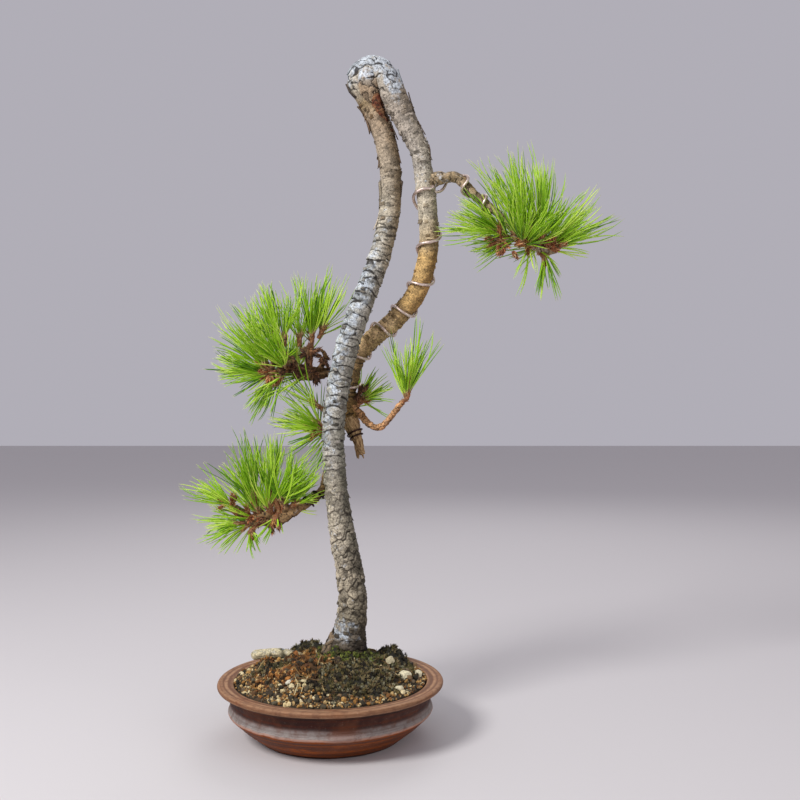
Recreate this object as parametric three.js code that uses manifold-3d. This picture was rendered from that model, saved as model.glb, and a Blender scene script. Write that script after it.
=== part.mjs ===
// A pine bonsai in a shallow round stoneware pot, in the tall, sparse literati style.
// The trunk climbs out of the pot, folds over sharply at the top and comes down again behind
// itself, where it carries the lower branches. Millimetres, +Z up, +X to the side that the
// upper branch reaches to, and the origin at the centre of the pot's flat underside.

import * as THREE from "three";
import { mergeVertices } from "three/addons/utils/BufferGeometryUtils.js";
import Module from "manifold-3d";

const wasm = await Module();
wasm.setup();

// ---- Driving dimensions ----

const POT_RIM_RADIUS = 90;
const POT_HEIGHT = 44;
const POT_BASE_RADIUS = 58;
const POT_RIDGE_RADIUS = 81.5;
const POT_RIDGE_HEIGHT = 21.5;
const POT_WALL = 6.5;
const LIP_INNER_RADIUS = 76.5;
const LIP_THICKNESS = 4.4;

const DRAIN_COUNT = 3;
const DRAIN_RADIUS = 6.5;
const DRAIN_RING = 30;
const SCREEN_SIDE = 20;
const SCREEN_THICKNESS = 0.8;
const SCREEN_CELLS = 3;
const SCREEN_STRAND = 1.4;

const MOUND_RISE = 19;
const MOUND_BUMP = 0.8;

const TRAINING_WIRE_RADIUS = 1.1;
const THIN_WIRE_RADIUS = 0.75;
const WIRE_STANDOFF = 0.8;
const NEEDLE_RADIUS = 0.75;

const GAP = 0.3; // left between any two pieces that touch
const SOIL_SLACK = 0.6; // left all round between the soil and the pot, whose sides are flats

const POT_SIDES = 40;
const SOIL_SIDES = 32;
const TRUNK_SIDES = 10;
const ROOT_SIDES = 5;
const TWIG_SIDES = 6;
const GOLDEN_ANGLE = Math.PI * (3 - Math.sqrt(5));
const GOLDEN_SHARE = 0.618; // steps of this share spread any number of things evenly

// ---- Colours and finishes ----

const FINISHES = {
  stoneware: { color: 0x7d4a38, roughness: 0.6, metalness: 0 },
  screen: { color: 0x1d1f1e, roughness: 0.7, metalness: 0 },
  soil: { color: 0x8a6a45, roughness: 0.95, metalness: 0 },
  moss: { color: 0x3f4d2a, roughness: 0.95, metalness: 0 },
  grit: { color: 0xcdb98c, roughness: 0.9, metalness: 0 },
  bark: { color: 0xa39b8c, roughness: 0.9, metalness: 0 },
  twig: { color: 0x8a6a42, roughness: 0.85, metalness: 0 },
  needle: { color: 0x5c9a1e, roughness: 0.5, metalness: 0 },
  wire: { color: 0x8f7468, roughness: 0.35, metalness: 1 },
  darkWire: { color: 0x3a2a24, roughness: 0.45, metalness: 1 },
};

// ---- Solids: how closed bodies are made, joined and cut ----

function solidFrom(geometry) {
  const bare = geometry.clone();
  bare.deleteAttribute("normal");
  bare.deleteAttribute("uv");
  const merged = mergeVertices(bare, 1e-4);
  const vertProperties = merged.attributes.position.array;
  const triVerts = new Uint32Array(merged.index.array);
  return new wasm.Manifold(new wasm.Mesh({ numProp: 3, vertProperties, triVerts }));
}

function geometryFrom(solid) {
  const { vertProperties, triVerts } = solid.getMesh();
  const geometry = new THREE.BufferGeometry();
  geometry.setAttribute("position", new THREE.BufferAttribute(vertProperties, 3));
  geometry.setIndex(new THREE.BufferAttribute(triVerts, 1));
  geometry.computeVertexNormals();
  return geometry;
}

const joined = (solids) => solids.reduce((all, next) => all.add(next));
const cutAway = (solid, ...tools) => tools.reduce((left, tool) => left.subtract(tool), solid);

// The outermost shell of a solid, without pockets closed in between crossing pieces.
function outerShell(solid) {
  const shells = solid.decompose();
  return shells.reduce((best, next) => (next.volume() > best.volume() ? next : best));
}

// Moves every corner of a geometry to where place(x, y, z) says.
function reshaped(geometry, place) {
  const position = geometry.attributes.position;
  const corner = new THREE.Vector3();
  for (let i = 0; i < position.count; i++) {
    corner.fromBufferAttribute(position, i);
    const moved = place(corner.x, corner.y, corner.z);
    position.setXYZ(i, moved.x, moved.y, moved.z);
  }
  return geometry;
}

// Bends a cylinder or cone of unit height along a curve; radiusAt gives its radius at 0 to 1.
function bentAlong(curve, upright, steps, radiusAt) {
  const frames = curve.computeFrenetFrames(steps);
  return reshaped(upright, (x, y, z) => {
    const step = Math.round((y + 0.5) * steps);
    const radius = radiusAt(step / steps);
    return curve
      .getPointAt(step / steps)
      .addScaledVector(frames.normals[step], x * radius)
      .addScaledVector(frames.binormals[step], -z * radius);
  });
}

const curveThrough = (stations) =>
  new THREE.CatmullRomCurve3(stations.map(([x, y, z]) => new THREE.Vector3(x, y, z)));

// The radius at arc fraction u of stations written as [x, y, z, radius].
function radiusAlong(stations, curve, u) {
  const place = curve.getUtoTmapping(u) * (stations.length - 1);
  const before = Math.min(Math.floor(place), stations.length - 2);
  return THREE.MathUtils.lerp(stations[before][3], stations[before + 1][3], place - before);
}

// A woody limb through [x, y, z, radius] stations, made larger all round by extra.
function limb(stations, { sides = 8, stepLength = 8, extra = 0 } = {}) {
  const curve = curveThrough(stations);
  const steps = Math.max(2, Math.round(curve.getLength() / stepLength));
  const upright = new THREE.CylinderGeometry(1, 1, 1, sides, steps);
  return solidFrom(
    bentAlong(curve, upright, steps, (u) => radiusAlong(stations, curve, u) + extra),
  );
}

// ---- The tree's routes, as [x, y, z, radius] stations ----

const RISING_TRUNK = [
  [12, 12, 44, 11],
  [12, 12, 55, 15.5],
  [12.5, 12, 66, 15.5],
  [14, 11.5, 78, 13],
  [16, 11, 92, 12],
  [16.5, 10, 107, 11.6],
  [14, 7.5, 129, 10.8],
  [9.5, 4, 154, 10.2],
  [3.5, -1, 199, 9.2],
  [2, -5, 242, 8.8],
  [5.5, -7, 271, 9],
  [11, -8, 300, 9.2],
  [19.5, -8, 328, 9.1],
  [31, -6, 358, 8.9],
  [40.5, -2, 387, 8.6],
  [46.5, 1, 416, 8.5],
  [47.5, 4, 446, 8.5],
  [43, 5.5, 476, 8.7],
  [36.5, 6, 493, 9],
];
const FOLD = [
  [31, 6.5, 506, 9.2],
  [27, 6, 512.5, 9.2],
  [22, 4.5, 520, 9.3],
  [24, 2, 527.5, 9.3],
  [31.5, -1.5, 531, 9.4],
  [39.5, -4, 528, 9.5],
  [46, -5.5, 518, 9.9],
  [50.5, -5.5, 507, 10.2],
  [55, -5, 497, 9.8],
  [60.5, -4, 486, 9],
  [66.5, -2.5, 474, 8.2],
  [71, -1, 464, 7.7],
  [73, 0.5, 453, 7.5],
];
const FALLING_LIMB = [
  [75, 2, 441, 8],
  [77.5, 4, 415, 7.7],
  [78.5, 6, 395, 7.7],
  [77, 7.5, 381, 7.8],
  [71.5, 10, 360, 8],
  [65, 12, 347.5, 8],
  [57, 14, 338, 7.9],
  [47.5, 16, 328.5, 7.7],
  [36, 17.5, 319.5, 7.5],
  [26, 18.5, 310, 7.4],
  [18.5, 19, 299, 7.3],
  [14, 19, 283, 7.2],
  [12, 18.5, 266, 7.2],
  [13.5, 17.5, 251, 7.4],
];
const DEADWOOD_STUB = [
  [17, 15.5, 242, 6],
  [19.5, 14, 236, 4.2],
  [22, 12.5, 229, 3.4],
  [24.5, 11, 222, 2],
];
const TRUNK = [...RISING_TRUNK, ...FOLD, ...FALLING_LIMB, ...DEADWOOD_STUB];

const ROOTS = [
  [[12, 12, 60, 9], [-8, 14, 59, 6.5], [-28, 12, 62, 5], [-46, 8, 63, 4.6], [-61, 4, 61, 3.8]],
  [[12, 12, 58, 9], [26, 2, 48, 5.5], [40, -10, 36, 3.5], [50, -20, 24, 2]],
  [[12, 12, 58, 9], [30, 24, 48, 5], [42, 36, 34, 3], [44, 44, 22, 2]],
  [[12, 12, 58, 9], [4, -4, 46, 5], [-8, -22, 32, 3], [-16, -38, 22, 2]],
  [[12, 12, 58, 9], [4, 28, 46, 5], [-10, 42, 32, 3], [-24, 48, 22, 2]],
];

const BRANCHES = {
  branch_upper_right: [
    [76, 2, 441, 5.4],
    [84, 1, 443, 4.7],
    [92, 0, 444, 4.2],
    [100, 0, 444, 4.2],
    [106, -0.5, 439.5, 4.1],
    [112, -1, 432, 4],
    [119.5, -2, 425.5, 3.8],
    [127, -3, 419, 3.4],
    [136, -4, 411.5, 3],
    [146, -5, 401, 3],
    [156, -5, 392, 3.4],
    [167, -4, 386.5, 3.4],
  ],
  branch_upper_left: [
    [13.5, 19, 287, 4],
    [4, 16.5, 289, 3.7],
    [-6, 12.5, 289, 3.5],
    [-22, 8, 289.5, 3.4],
    [-38, 4, 288.5, 3.3],
    [-50, 2, 287, 3],
  ],
  branch_lower_left: [
    [12, 18, 258, 4.6],
    [3, 16.5, 245, 4.3],
    [-1, 15, 228, 4],
    [-3, 14, 210, 4],
    [-8, 11.5, 193, 3.9],
    [-17.5, 6, 184.5, 3.8],
    [-27, 2, 179.5, 3.8],
    [-41, 0, 172.5, 4],
    [-52, 0, 168.5, 3.4],
    [-66, 0, 168, 2.8],
    [-75, 0, 173, 2.4],
  ],
  branch_lower_right: [
    [12.5, 18, 262, 3.6],
    [20, 14.5, 258, 3],
    [27.5, 10, 249, 2.8],
    [33.5, 6, 244.5, 2.6],
    [39.5, 4, 244.5, 2.6],
    [44, 3, 248, 2.5],
    [49.5, 2, 255, 2.4],
    [57, 0.5, 264.5, 2.4],
  ],
};

// Each shoot: where its twig leaves the wood, where its needles begin, where the middle of
// the fan of needles ends, the fan's half angle in degrees, and the bud's length.
const shootFrom = (from, base, tip, fan, bud) => ({ from, base, tip, fan, bud });
const SHOOTS = {
  shoot_upper_right_a: shootFrom([136, -4, 411], [132, -6, 400], [88, -14, 410], 34, 6),
  shoot_upper_right_b: shootFrom([148, -5, 399], [152, -9, 404], [126, -20, 458], 26, 8),
  shoot_upper_right_c: shootFrom([158, -5, 391], [166, -3, 397], [164, -2, 475], 17, 10),
  shoot_upper_right_d: shootFrom([166, -4, 386.5], [176, -2, 388], [224, 0, 421], 34, 8),
  shoot_upper_right_e: shootFrom([164, -4, 387], [169, -8, 378], [168, -14, 338], 24, 3),
  shoot_upper_right_f: shootFrom([153, -5, 394], [152, -13, 390], [150, -58, 414], 34, 4),
  shoot_upper_right_g: shootFrom([161, -5, 389], [166, 6, 390], [176, 54, 416], 34, 6),
  shoot_upper_right_h: shootFrom([147, -5, 400], [141, 2, 392], [112, 34, 396], 30, 4),
  shoot_upper_left_a: shootFrom([-49, 2, 287], [-57, 0, 288], [-96, -4, 297], 22, 5),
  shoot_upper_left_b: shootFrom([-46, 3, 288], [-52, 4, 295], [-84, 0, 340], 22, 6),
  shoot_upper_left_c: shootFrom([-42, 3.5, 289], [-43, 2, 313], [-60, -2, 358], 22, 8),
  shoot_upper_left_d: shootFrom([-18, 9, 289], [-16, 8, 318], [-10, 4, 374], 27, 8),
  shoot_upper_left_e: shootFrom([-44, 3, 288], [-48, 8, 281], [-68, 14, 250], 20, 3),
  shoot_upper_left_f: shootFrom([-34, 5, 289], [-36, 14, 295], [-44, 56, 318], 32, 4),
  shoot_upper_left_g: shootFrom([-36, 4.5, 288.5], [-38, -6, 294], [-58, -44, 320], 26, 4),
  shoot_middle_left: shootFrom([0, 15, 236], [-13, 8, 244], [-49, 2, 256], 23, 6),
  shoot_lower_left_a: shootFrom([-74, 0, 172], [-84, 0, 184], [-120, -3, 203], 20, 4),
  shoot_lower_left_b: shootFrom([-66, 0, 168], [-76, -1, 167], [-110, -5, 162], 34, 4),
  shoot_lower_left_c: shootFrom([-60, 0, 168], [-62, -1, 190], [-76, -6, 238], 22, 6),
  shoot_lower_left_d: shootFrom([-48, 0, 170], [-48, 1, 194], [-49, 4, 242], 20, 6),
  shoot_lower_left_e: shootFrom([-41, 0, 172.5], [-43, -2, 186], [-8, -12, 214], 24, 6),
  shoot_lower_left_f: shootFrom([-58, 0, 168], [-64, -4, 160], [-58, -14, 142], 28, 3),
  shoot_lower_left_g: shootFrom([-54, 0, 168.5], [-58, 10, 174], [-70, 50, 196], 32, 4),
  shoot_lower_right: shootFrom([56, 0.5, 263.5], [60.5, 0, 268], [68, -1, 326], 27, 30),
  shoot_behind_trunk: shootFrom([13, 18.5, 262], [22, 21, 264], [44, 26, 284], 32, 9),
};
const NEEDLES_PER_SHOOT = 10;
const LONGEST_NEEDLE = 1.06; // as shares of the distance from a shoot's base to its tip
const SHORTEST_NEEDLE = 0.86;
const LENGTH_STEP = 0.37; // mixes long and short needles
const CLIMB = 0.6; // the share of the bud that the needles' roots climb, up to LONG_BUD
const LONG_BUD = 8;

// ---- Wood ----

const trunkSolid = (extra = 0) =>
  joined([
    limb(TRUNK, { sides: TRUNK_SIDES, stepLength: 9, extra }),
    ...ROOTS.map((root) => limb(root, { sides: ROOT_SIDES, stepLength: 16, extra })),
  ]);
const trunkRoom = trunkSolid(GAP);
const trunk = trunkSolid();

const branches = {};
const branchRooms = {};
for (const [name, stations] of Object.entries(BRANCHES)) {
  const nearer = Object.values(branchRooms);
  branches[name] = cutAway(limb(stations), trunkRoom, ...nearer);
  branchRooms[name] = limb(stations, { extra: GAP });
}
const woodRoom = joined([trunkRoom, ...Object.values(branchRooms)]);

// ---- Training wires ----

// A wire wound right-handed round a limb. windings holds [turns, distance] pairs: how far
// along the limb the wire has come after so many turns. A whole turn ends at the front.
function woundWire(stations, windings, wireRadius, stepsPerTurn = 12) {
  const curve = curveThrough(stations);
  const length = curve.getLength();
  const [firstTurn] = windings[0];
  const [lastTurn] = windings.at(-1);
  const steps = Math.round((lastTurn - firstTurn) * stepsPerTurn);
  const points = [];
  for (let i = 0; i <= steps; i++) {
    const turn = THREE.MathUtils.lerp(firstTurn, lastTurn, i / steps);
    const u = distanceAtTurn(windings, turn) / length;
    const tangent = curve.getTangentAt(u);
    const front = new THREE.Vector3(0, -1, 0).projectOnPlane(tangent).normalize();
    const side = new THREE.Vector3().crossVectors(tangent, front);
    const reach = radiusAlong(stations, curve, u) + wireRadius + WIRE_STANDOFF;
    const angle = 2 * Math.PI * turn;
    points.push(
      curve
        .getPointAt(u)
        .addScaledVector(front, reach * Math.cos(angle))
        .addScaledVector(side, reach * Math.sin(angle)),
    );
  }
  const section = new THREE.Shape().absarc(0, 0, wireRadius, 0, 2 * Math.PI);
  const extrudePath = new THREE.CatmullRomCurve3(points);
  return solidFrom(
    new THREE.ExtrudeGeometry(section, { steps, extrudePath, curveSegments: 3 }),
  );
}

function distanceAtTurn(windings, turn) {
  const after = Math.max(1, windings.findIndex(([turns]) => turns >= turn - 1e-9));
  const [turnsBefore, distanceBefore] = windings[after - 1];
  const [turnsAfter, distanceAfter] = windings[after];
  const share = (turn - turnsBefore) / (turnsAfter - turnsBefore);
  return THREE.MathUtils.lerp(distanceBefore, distanceAfter, share);
}

// The thick wire climbs the falling limb and swings wide on to the upper branch.
const TRAINING_WIRE_ROUTE = [
  ...FALLING_LIMB.toReversed(),
  [84, 1, 441, 9],
  ...BRANCHES.branch_upper_right.slice(2, 9),
];
const TRAINING_WIRE_WINDINGS = [
  [0.55, 13],
  [1, 25],
  [2, 52],
  [3, 84],
  [4, 105],
  [5, 131],
  [6, 165],
  [7, 207],
  [7.12, 210],
  [7.25, 228],
  [8, 250],
  [9, 271],
  [9.4, 279],
];
const wires = {
  training_wire: cutAway(
    woundWire(TRAINING_WIRE_ROUTE, TRAINING_WIRE_WINDINGS, TRAINING_WIRE_RADIUS),
    trunkRoom,
  ),
  collar_wire: woundWire(
    [FALLING_LIMB.at(-1), ...DEADWOOD_STUB],
    [[0.5, 11], [2.5, 18]],
    THIN_WIRE_RADIUS,
  ),
  lower_branch_wire: woundWire(
    BRANCHES.branch_lower_left.slice(3, 8),
    [[0.5, 19], [2.5, 38]],
    THIN_WIRE_RADIUS,
  ),
};

// ---- Shoots with their needles ----

const point = (xyz) => new THREE.Vector3(...xyz);

// The woody end of a shoot: a thin twig that swells where the needles grow, and its bud.
function shootCore({ from, base, tip, bud }, extra = 0) {
  const start = point(from);
  const knee = point(base);
  const way = point(tip).sub(knee).normalize();
  const stations = [
    [...start, 1.6],
    [...start.clone().lerp(knee, 0.55), 1.9],
    [...knee.clone().addScaledVector(way, -1), 2.8],
    [...knee.clone().addScaledVector(way, bud * 0.5), 2],
    [...knee.clone().addScaledVector(way, bud), 0.6],
  ];
  return limb(stations, { sides: TWIG_SIDES, stepLength: 7, extra });
}

// One needle: a straight three-sided spike.
function needle(root, end, extra = 0) {
  const curve = new THREE.LineCurve3(root, end);
  const upright = new THREE.ConeGeometry(1, 1, 3, 1);
  return solidFrom(bentAlong(curve, upright, 1, () => NEEDLE_RADIUS + extra));
}

// The root and the end of the needle numbered index in a shoot's fan. The roots climb the
// bud, and the ends are spread evenly over the fan's cap.
function needleEnds({ base, tip, fan, bud }, index) {
  const root = point(base);
  const way = point(tip).sub(root);
  const reach = way.length();
  way.normalize();
  const sideways = new THREE.Vector3(0, 0, 1).cross(way).normalize();
  if (sideways.lengthSq() < 0.5) sideways.set(1, 0, 0);
  const upward = new THREE.Vector3().crossVectors(way, sideways);
  const share = (index * GOLDEN_SHARE + 0.5) % 1;
  const lean = THREE.MathUtils.degToRad(fan) * Math.sqrt(share);
  const turn = index * GOLDEN_ANGLE;
  const long = reach * THREE.MathUtils.lerp(LONGEST_NEEDLE, SHORTEST_NEEDLE, (index * LENGTH_STEP) % 1);
  const end = root
    .clone()
    .addScaledVector(way, long * Math.cos(lean))
    .addScaledVector(sideways, long * Math.sin(lean) * Math.cos(turn))
    .addScaledVector(upward, long * Math.sin(lean) * Math.sin(turn));
  return [root.addScaledVector(way, Math.min(bud, LONG_BUD) * CLIMB * (1 - share)), end];
}

// Grows a shoot's needles, leaving out any that would run into another piece.
function grownShoot(shoot, core, others) {
  const grown = [core];
  const tries = 3 * NEEDLES_PER_SHOOT;
  for (let index = 0; grown.length <= NEEDLES_PER_SHOOT && index < tries; index++) {
    const [root, end] = needleEnds(shoot, index);
    if (needle(root, end, GAP).intersect(others).isEmpty()) grown.push(needle(root, end));
  }
  return outerShell(joined(grown));
}

const wireRooms = Object.values(wires);
const cores = {};
const coreRooms = {};
for (const [name, shoot] of Object.entries(SHOOTS)) {
  cores[name] = cutAway(shootCore(shoot), woodRoom, ...Object.values(coreRooms));
  coreRooms[name] = shootCore(shoot, GAP);
}
const shoots = {};
for (const [name, shoot] of Object.entries(SHOOTS)) {
  const neighbours = Object.keys(SHOOTS).filter((other) => other !== name);
  const others = joined([
    woodRoom,
    ...wireRooms,
    ...neighbours.map((other) => shoots[other] ?? cores[other]),
  ]);
  shoots[name] = grownShoot(shoot, cores[name], others);
}

// ---- Pot ----

// The pot's section as [radius, height]: flat base, tapering foot, sharp ridge, waisted neck,
// flat lip, then down the inside.
const potOutside = [
  [0, 0],
  [POT_BASE_RADIUS - 1, 0],
  [POT_BASE_RADIUS, 1],
  [POT_BASE_RADIUS + 12, POT_RIDGE_HEIGHT * 0.48],
  [POT_RIDGE_RADIUS - 0.8, POT_RIDGE_HEIGHT - 1.2],
  [POT_RIDGE_RADIUS, POT_RIDGE_HEIGHT],
  [POT_RIDGE_RADIUS - 1.4, POT_RIDGE_HEIGHT + 3],
  [POT_RIDGE_RADIUS - 2.4, POT_RIDGE_HEIGHT + 8],
  [POT_RIDGE_RADIUS - 1.2, POT_RIDGE_HEIGHT + 14],
  [POT_RIM_RADIUS - 4, POT_HEIGHT - LIP_THICKNESS - 0.6],
  [POT_RIM_RADIUS - 0.8, POT_HEIGHT - LIP_THICKNESS + 0.6],
  [POT_RIM_RADIUS, POT_HEIGHT - LIP_THICKNESS / 2],
  [POT_RIM_RADIUS - 1.2, POT_HEIGHT],
  [LIP_INNER_RADIUS + 1, POT_HEIGHT - 0.6],
];
const potInside = [
  [LIP_INNER_RADIUS, POT_HEIGHT - 1.4],
  [POT_RIDGE_RADIUS - 2.4 - POT_WALL, POT_RIDGE_HEIGHT + 8],
  [POT_RIDGE_RADIUS - POT_WALL - 4, POT_RIDGE_HEIGHT],
  [POT_BASE_RADIUS + 3, POT_WALL + 4],
  [POT_BASE_RADIUS - 6, POT_WALL],
  [0, POT_WALL],
];

// A ring turned about +Z from a section of [radius, height] points.
function turned(section, sides) {
  const profile = section.map(([radius, height]) => new THREE.Vector2(radius, height));
  return new THREE.LatheGeometry(profile, sides).rotateX(Math.PI / 2);
}

const drainPlaces = Array.from({ length: DRAIN_COUNT }, (_, i) => {
  const angle = Math.PI / 2 + (i * 2 * Math.PI) / DRAIN_COUNT;
  return [DRAIN_RING * Math.cos(angle), DRAIN_RING * Math.sin(angle)];
});

function pot() {
  const drains = drainPlaces.map(([x, y]) =>
    solidFrom(
      new THREE.CylinderGeometry(DRAIN_RADIUS, DRAIN_RADIUS, 4 * POT_WALL, 20)
        .rotateX(Math.PI / 2)
        .translate(x, y, 0),
    ),
  );
  return cutAway(solidFrom(turned([...potOutside, ...potInside], POT_SIDES)), ...drains);
}

const box = (wide, deep, high, x, y, z) =>
  solidFrom(new THREE.BoxGeometry(wide, deep, high).translate(x, y, z));

// A square of plastic mesh that keeps the soil in over a drain hole.
function drainScreen([x, y]) {
  const pitch = (SCREEN_SIDE - SCREEN_STRAND) / SCREEN_CELLS;
  const opening = pitch - SCREEN_STRAND;
  const first = (SCREEN_STRAND + opening - SCREEN_SIDE) / 2 + SCREEN_STRAND / 2;
  const height = POT_WALL + GAP + SCREEN_THICKNESS / 2;
  const cells = [];
  for (let i = 0; i < SCREEN_CELLS; i++)
    for (let j = 0; j < SCREEN_CELLS; j++)
      cells.push(box(opening, opening, 2, x + first + i * pitch, y + first + j * pitch, height));
  return cutAway(box(SCREEN_SIDE, SCREEN_SIDE, SCREEN_THICKNESS, x, y, height), joined(cells));
}

const screenRooms = drainPlaces.map(([x, y]) => {
  const side = SCREEN_SIDE + 2 * GAP;
  return box(side, side, 2 * (SCREEN_THICKNESS + 2 * GAP), x, y, POT_WALL);
});

// ---- Soil, moss and stones ----

const SOIL_RADIUS = LIP_INNER_RADIUS - 1;
const SOIL_EDGE_HEIGHT = POT_HEIGHT - 2;
const SOIL_RINGS = [1, 0.92, 0.78, 0.62, 0.46, 0.3, 0.15, 0]; // of the mound, from edge to middle
const MOSS_SUNK = 2;

// The height of the planted surface: a mound with small swells, flat at the pot's lip.
function groundHeight(x, y) {
  const inward = Math.max(0, 1 - (x * x + y * y) / (SOIL_RADIUS * SOIL_RADIUS));
  const swell = Math.sin(x / 6.3 + 1) * Math.cos(y / 7.1) + 0.6 * Math.sin(x / 11 - y / 5.2);
  return SOIL_EDGE_HEIGHT + MOUND_RISE * inward + MOUND_BUMP * swell * Math.sqrt(inward);
}

// A cushion of moss laid over the mound: a flattened ball with a wavy edge, sunk a little.
function mossCushion({ x, y, wide, deep, high }, extra = 0) {
  return solidFrom(
    reshaped(new THREE.SphereGeometry(1, 18, 8).rotateX(Math.PI / 2), (u, v, w) => {
      const around = Math.atan2(v, u);
      const wave = 1 + 0.07 * Math.sin(3 * around + x) + 0.05 * Math.sin(5 * around + y);
      const px = x + u * (wide + extra) * wave;
      const py = y + v * (deep + extra) * wave;
      const lift = w * (w > 0 ? high + extra : MOSS_SUNK + extra);
      return new THREE.Vector3(px, py, groundHeight(px, py) + lift);
    }),
  );
}

// A lump of grit: a rough ball with flattened faces, half sunk in the mound.
function stone({ x, y, size }, extra = 0) {
  const ball = new THREE.IcosahedronGeometry(1, 1);
  const ground = groundHeight(x, y);
  return solidFrom(
    reshaped(ball, (u, v, w) => {
      const rough = 1 + 0.16 * Math.sin(5 * u + x) * Math.cos(4 * v + y);
      const reach = (size + extra) * rough;
      const height = ground + 0.2 * size + w * reach * 0.8;
      return new THREE.Vector3(x + u * reach * 1.15, y + v * reach, height);
    }),
  );
}

const MOSSES = {
  moss_trunk_foot: { x: 15, y: 3, wide: 27, deep: 17, high: 4 },
  moss_right_mound: { x: 50, y: 25, wide: 15, deep: 14, high: 9 },
  moss_left_mound: { x: -22, y: 31, wide: 19, deep: 12, high: 7 },
  moss_front: { x: 22, y: -38, wide: 30, deep: 25, high: 3.5 },
  moss_left: { x: -46, y: -12, wide: 17, deep: 9, high: 3 },
};
const STONES = {
  stone_1: { x: -28, y: -40, size: 4 },
  stone_2: { x: 59, y: -16, size: 5 },
  stone_3: { x: 47, y: 1, size: 4 },
  stone_4: { x: 69, y: 2, size: 4 },
  stone_5: { x: 54, y: -42, size: 3.6 },
};

const mosses = {};
const mossRooms = {};
for (const [name, place] of Object.entries(MOSSES)) {
  mosses[name] = cutAway(mossCushion(place), trunkRoom, ...Object.values(mossRooms));
  mossRooms[name] = mossCushion(place, GAP);
}
const stones = {};
for (const [name, place] of Object.entries(STONES))
  stones[name] = cutAway(stone(place), ...Object.values(mossRooms));
const stoneRooms = Object.values(STONES).map((place) => stone(place, GAP));

function soil() {
  const top = SOIL_RINGS.map((share) => [share * SOIL_RADIUS, SOIL_EDGE_HEIGHT]);
  const inside = potInside
    .toReversed()
    .slice(0, -1)
    .map(([radius, height]) => [Math.max(0, radius - SOIL_SLACK), height + GAP]);
  const shape = reshaped(turned([...inside, ...top], SOIL_SIDES), (x, y, z) => {
    const onTop = z > SOIL_EDGE_HEIGHT - 0.01;
    return new THREE.Vector3(x, y, onTop ? groundHeight(x, y) : z);
  });
  return cutAway(
    solidFrom(shape),
    trunkRoom,
    ...Object.values(mossRooms),
    ...stoneRooms,
    ...screenRooms,
  );
}

// ---- Assembly ----

const bonsai = new THREE.Group();

function add(name, finish, solid) {
  const material = new THREE.MeshStandardMaterial(FINISHES[finish]);
  const mesh = new THREE.Mesh(geometryFrom(solid), material);
  mesh.name = name;
  bonsai.add(mesh);
}

function addAll(solids, finish) {
  for (const [name, solid] of Object.entries(solids)) add(name, finish, solid);
}

add("pot", "stoneware", pot());
drainPlaces.forEach((place, i) => add(`drain_screen_${i + 1}`, "screen", drainScreen(place)));
add("soil", "soil", soil());
addAll(mosses, "moss");
addAll(stones, "grit");
add("trunk", "bark", trunk);
addAll(branches, "twig");
add("training_wire", "wire", wires.training_wire);
add("collar_wire", "darkWire", wires.collar_wire);
add("lower_branch_wire", "wire", wires.lower_branch_wire);
addAll(shoots, "needle");

export default bonsai;
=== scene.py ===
import math
import random

import bmesh
import bpy
from mathutils import Matrix, Vector, noise


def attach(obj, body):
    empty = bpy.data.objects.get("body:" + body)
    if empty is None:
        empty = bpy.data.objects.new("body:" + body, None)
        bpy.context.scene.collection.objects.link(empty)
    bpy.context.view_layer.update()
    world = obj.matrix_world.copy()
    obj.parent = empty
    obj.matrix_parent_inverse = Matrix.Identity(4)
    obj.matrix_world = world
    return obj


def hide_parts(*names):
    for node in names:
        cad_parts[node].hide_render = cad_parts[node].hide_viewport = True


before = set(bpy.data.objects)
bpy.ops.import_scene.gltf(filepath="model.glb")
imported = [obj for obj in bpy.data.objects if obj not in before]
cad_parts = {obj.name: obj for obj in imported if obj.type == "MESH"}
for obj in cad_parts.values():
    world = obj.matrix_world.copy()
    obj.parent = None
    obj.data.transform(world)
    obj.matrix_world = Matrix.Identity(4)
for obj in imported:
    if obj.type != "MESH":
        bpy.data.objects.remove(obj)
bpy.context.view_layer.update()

# Lengths are in millimetres while a piece is modelled, and are turned to metres when it is finished.
MM = 0.001
TRUNK_SIDES, LIMB_SIDES, BARK_GAP = 96, 88, 0.62  # points round the trunk, and the gap between rings
GOLDEN_ANGLE = math.pi * (3 - math.sqrt(5))
GOLDEN_SHARE = 0.618
FRONT = Vector((0, -1, 0))
UP = Vector((0, 0, 1))
# Grain is noise in several sizes: how much each is weaker than the one before, and how much finer.
FADE, SOFT_FADE, FINER = 0.9, 0.8, 2.1
noise.seed_set(6)  # so that the cracks of the bark fall in the same places every time

# The turned pot, from its flat underside at height 0.
POT_HEIGHT = 44
DRAIN_COUNT = 3
DRAIN_RADIUS = 6.5
DRAIN_RING = 30
SOIL_RADIUS = 75.5
SOIL_EDGE_HEIGHT = 42
MOUND_RISE = 19
MOUND_BUMP = 0.8

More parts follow.
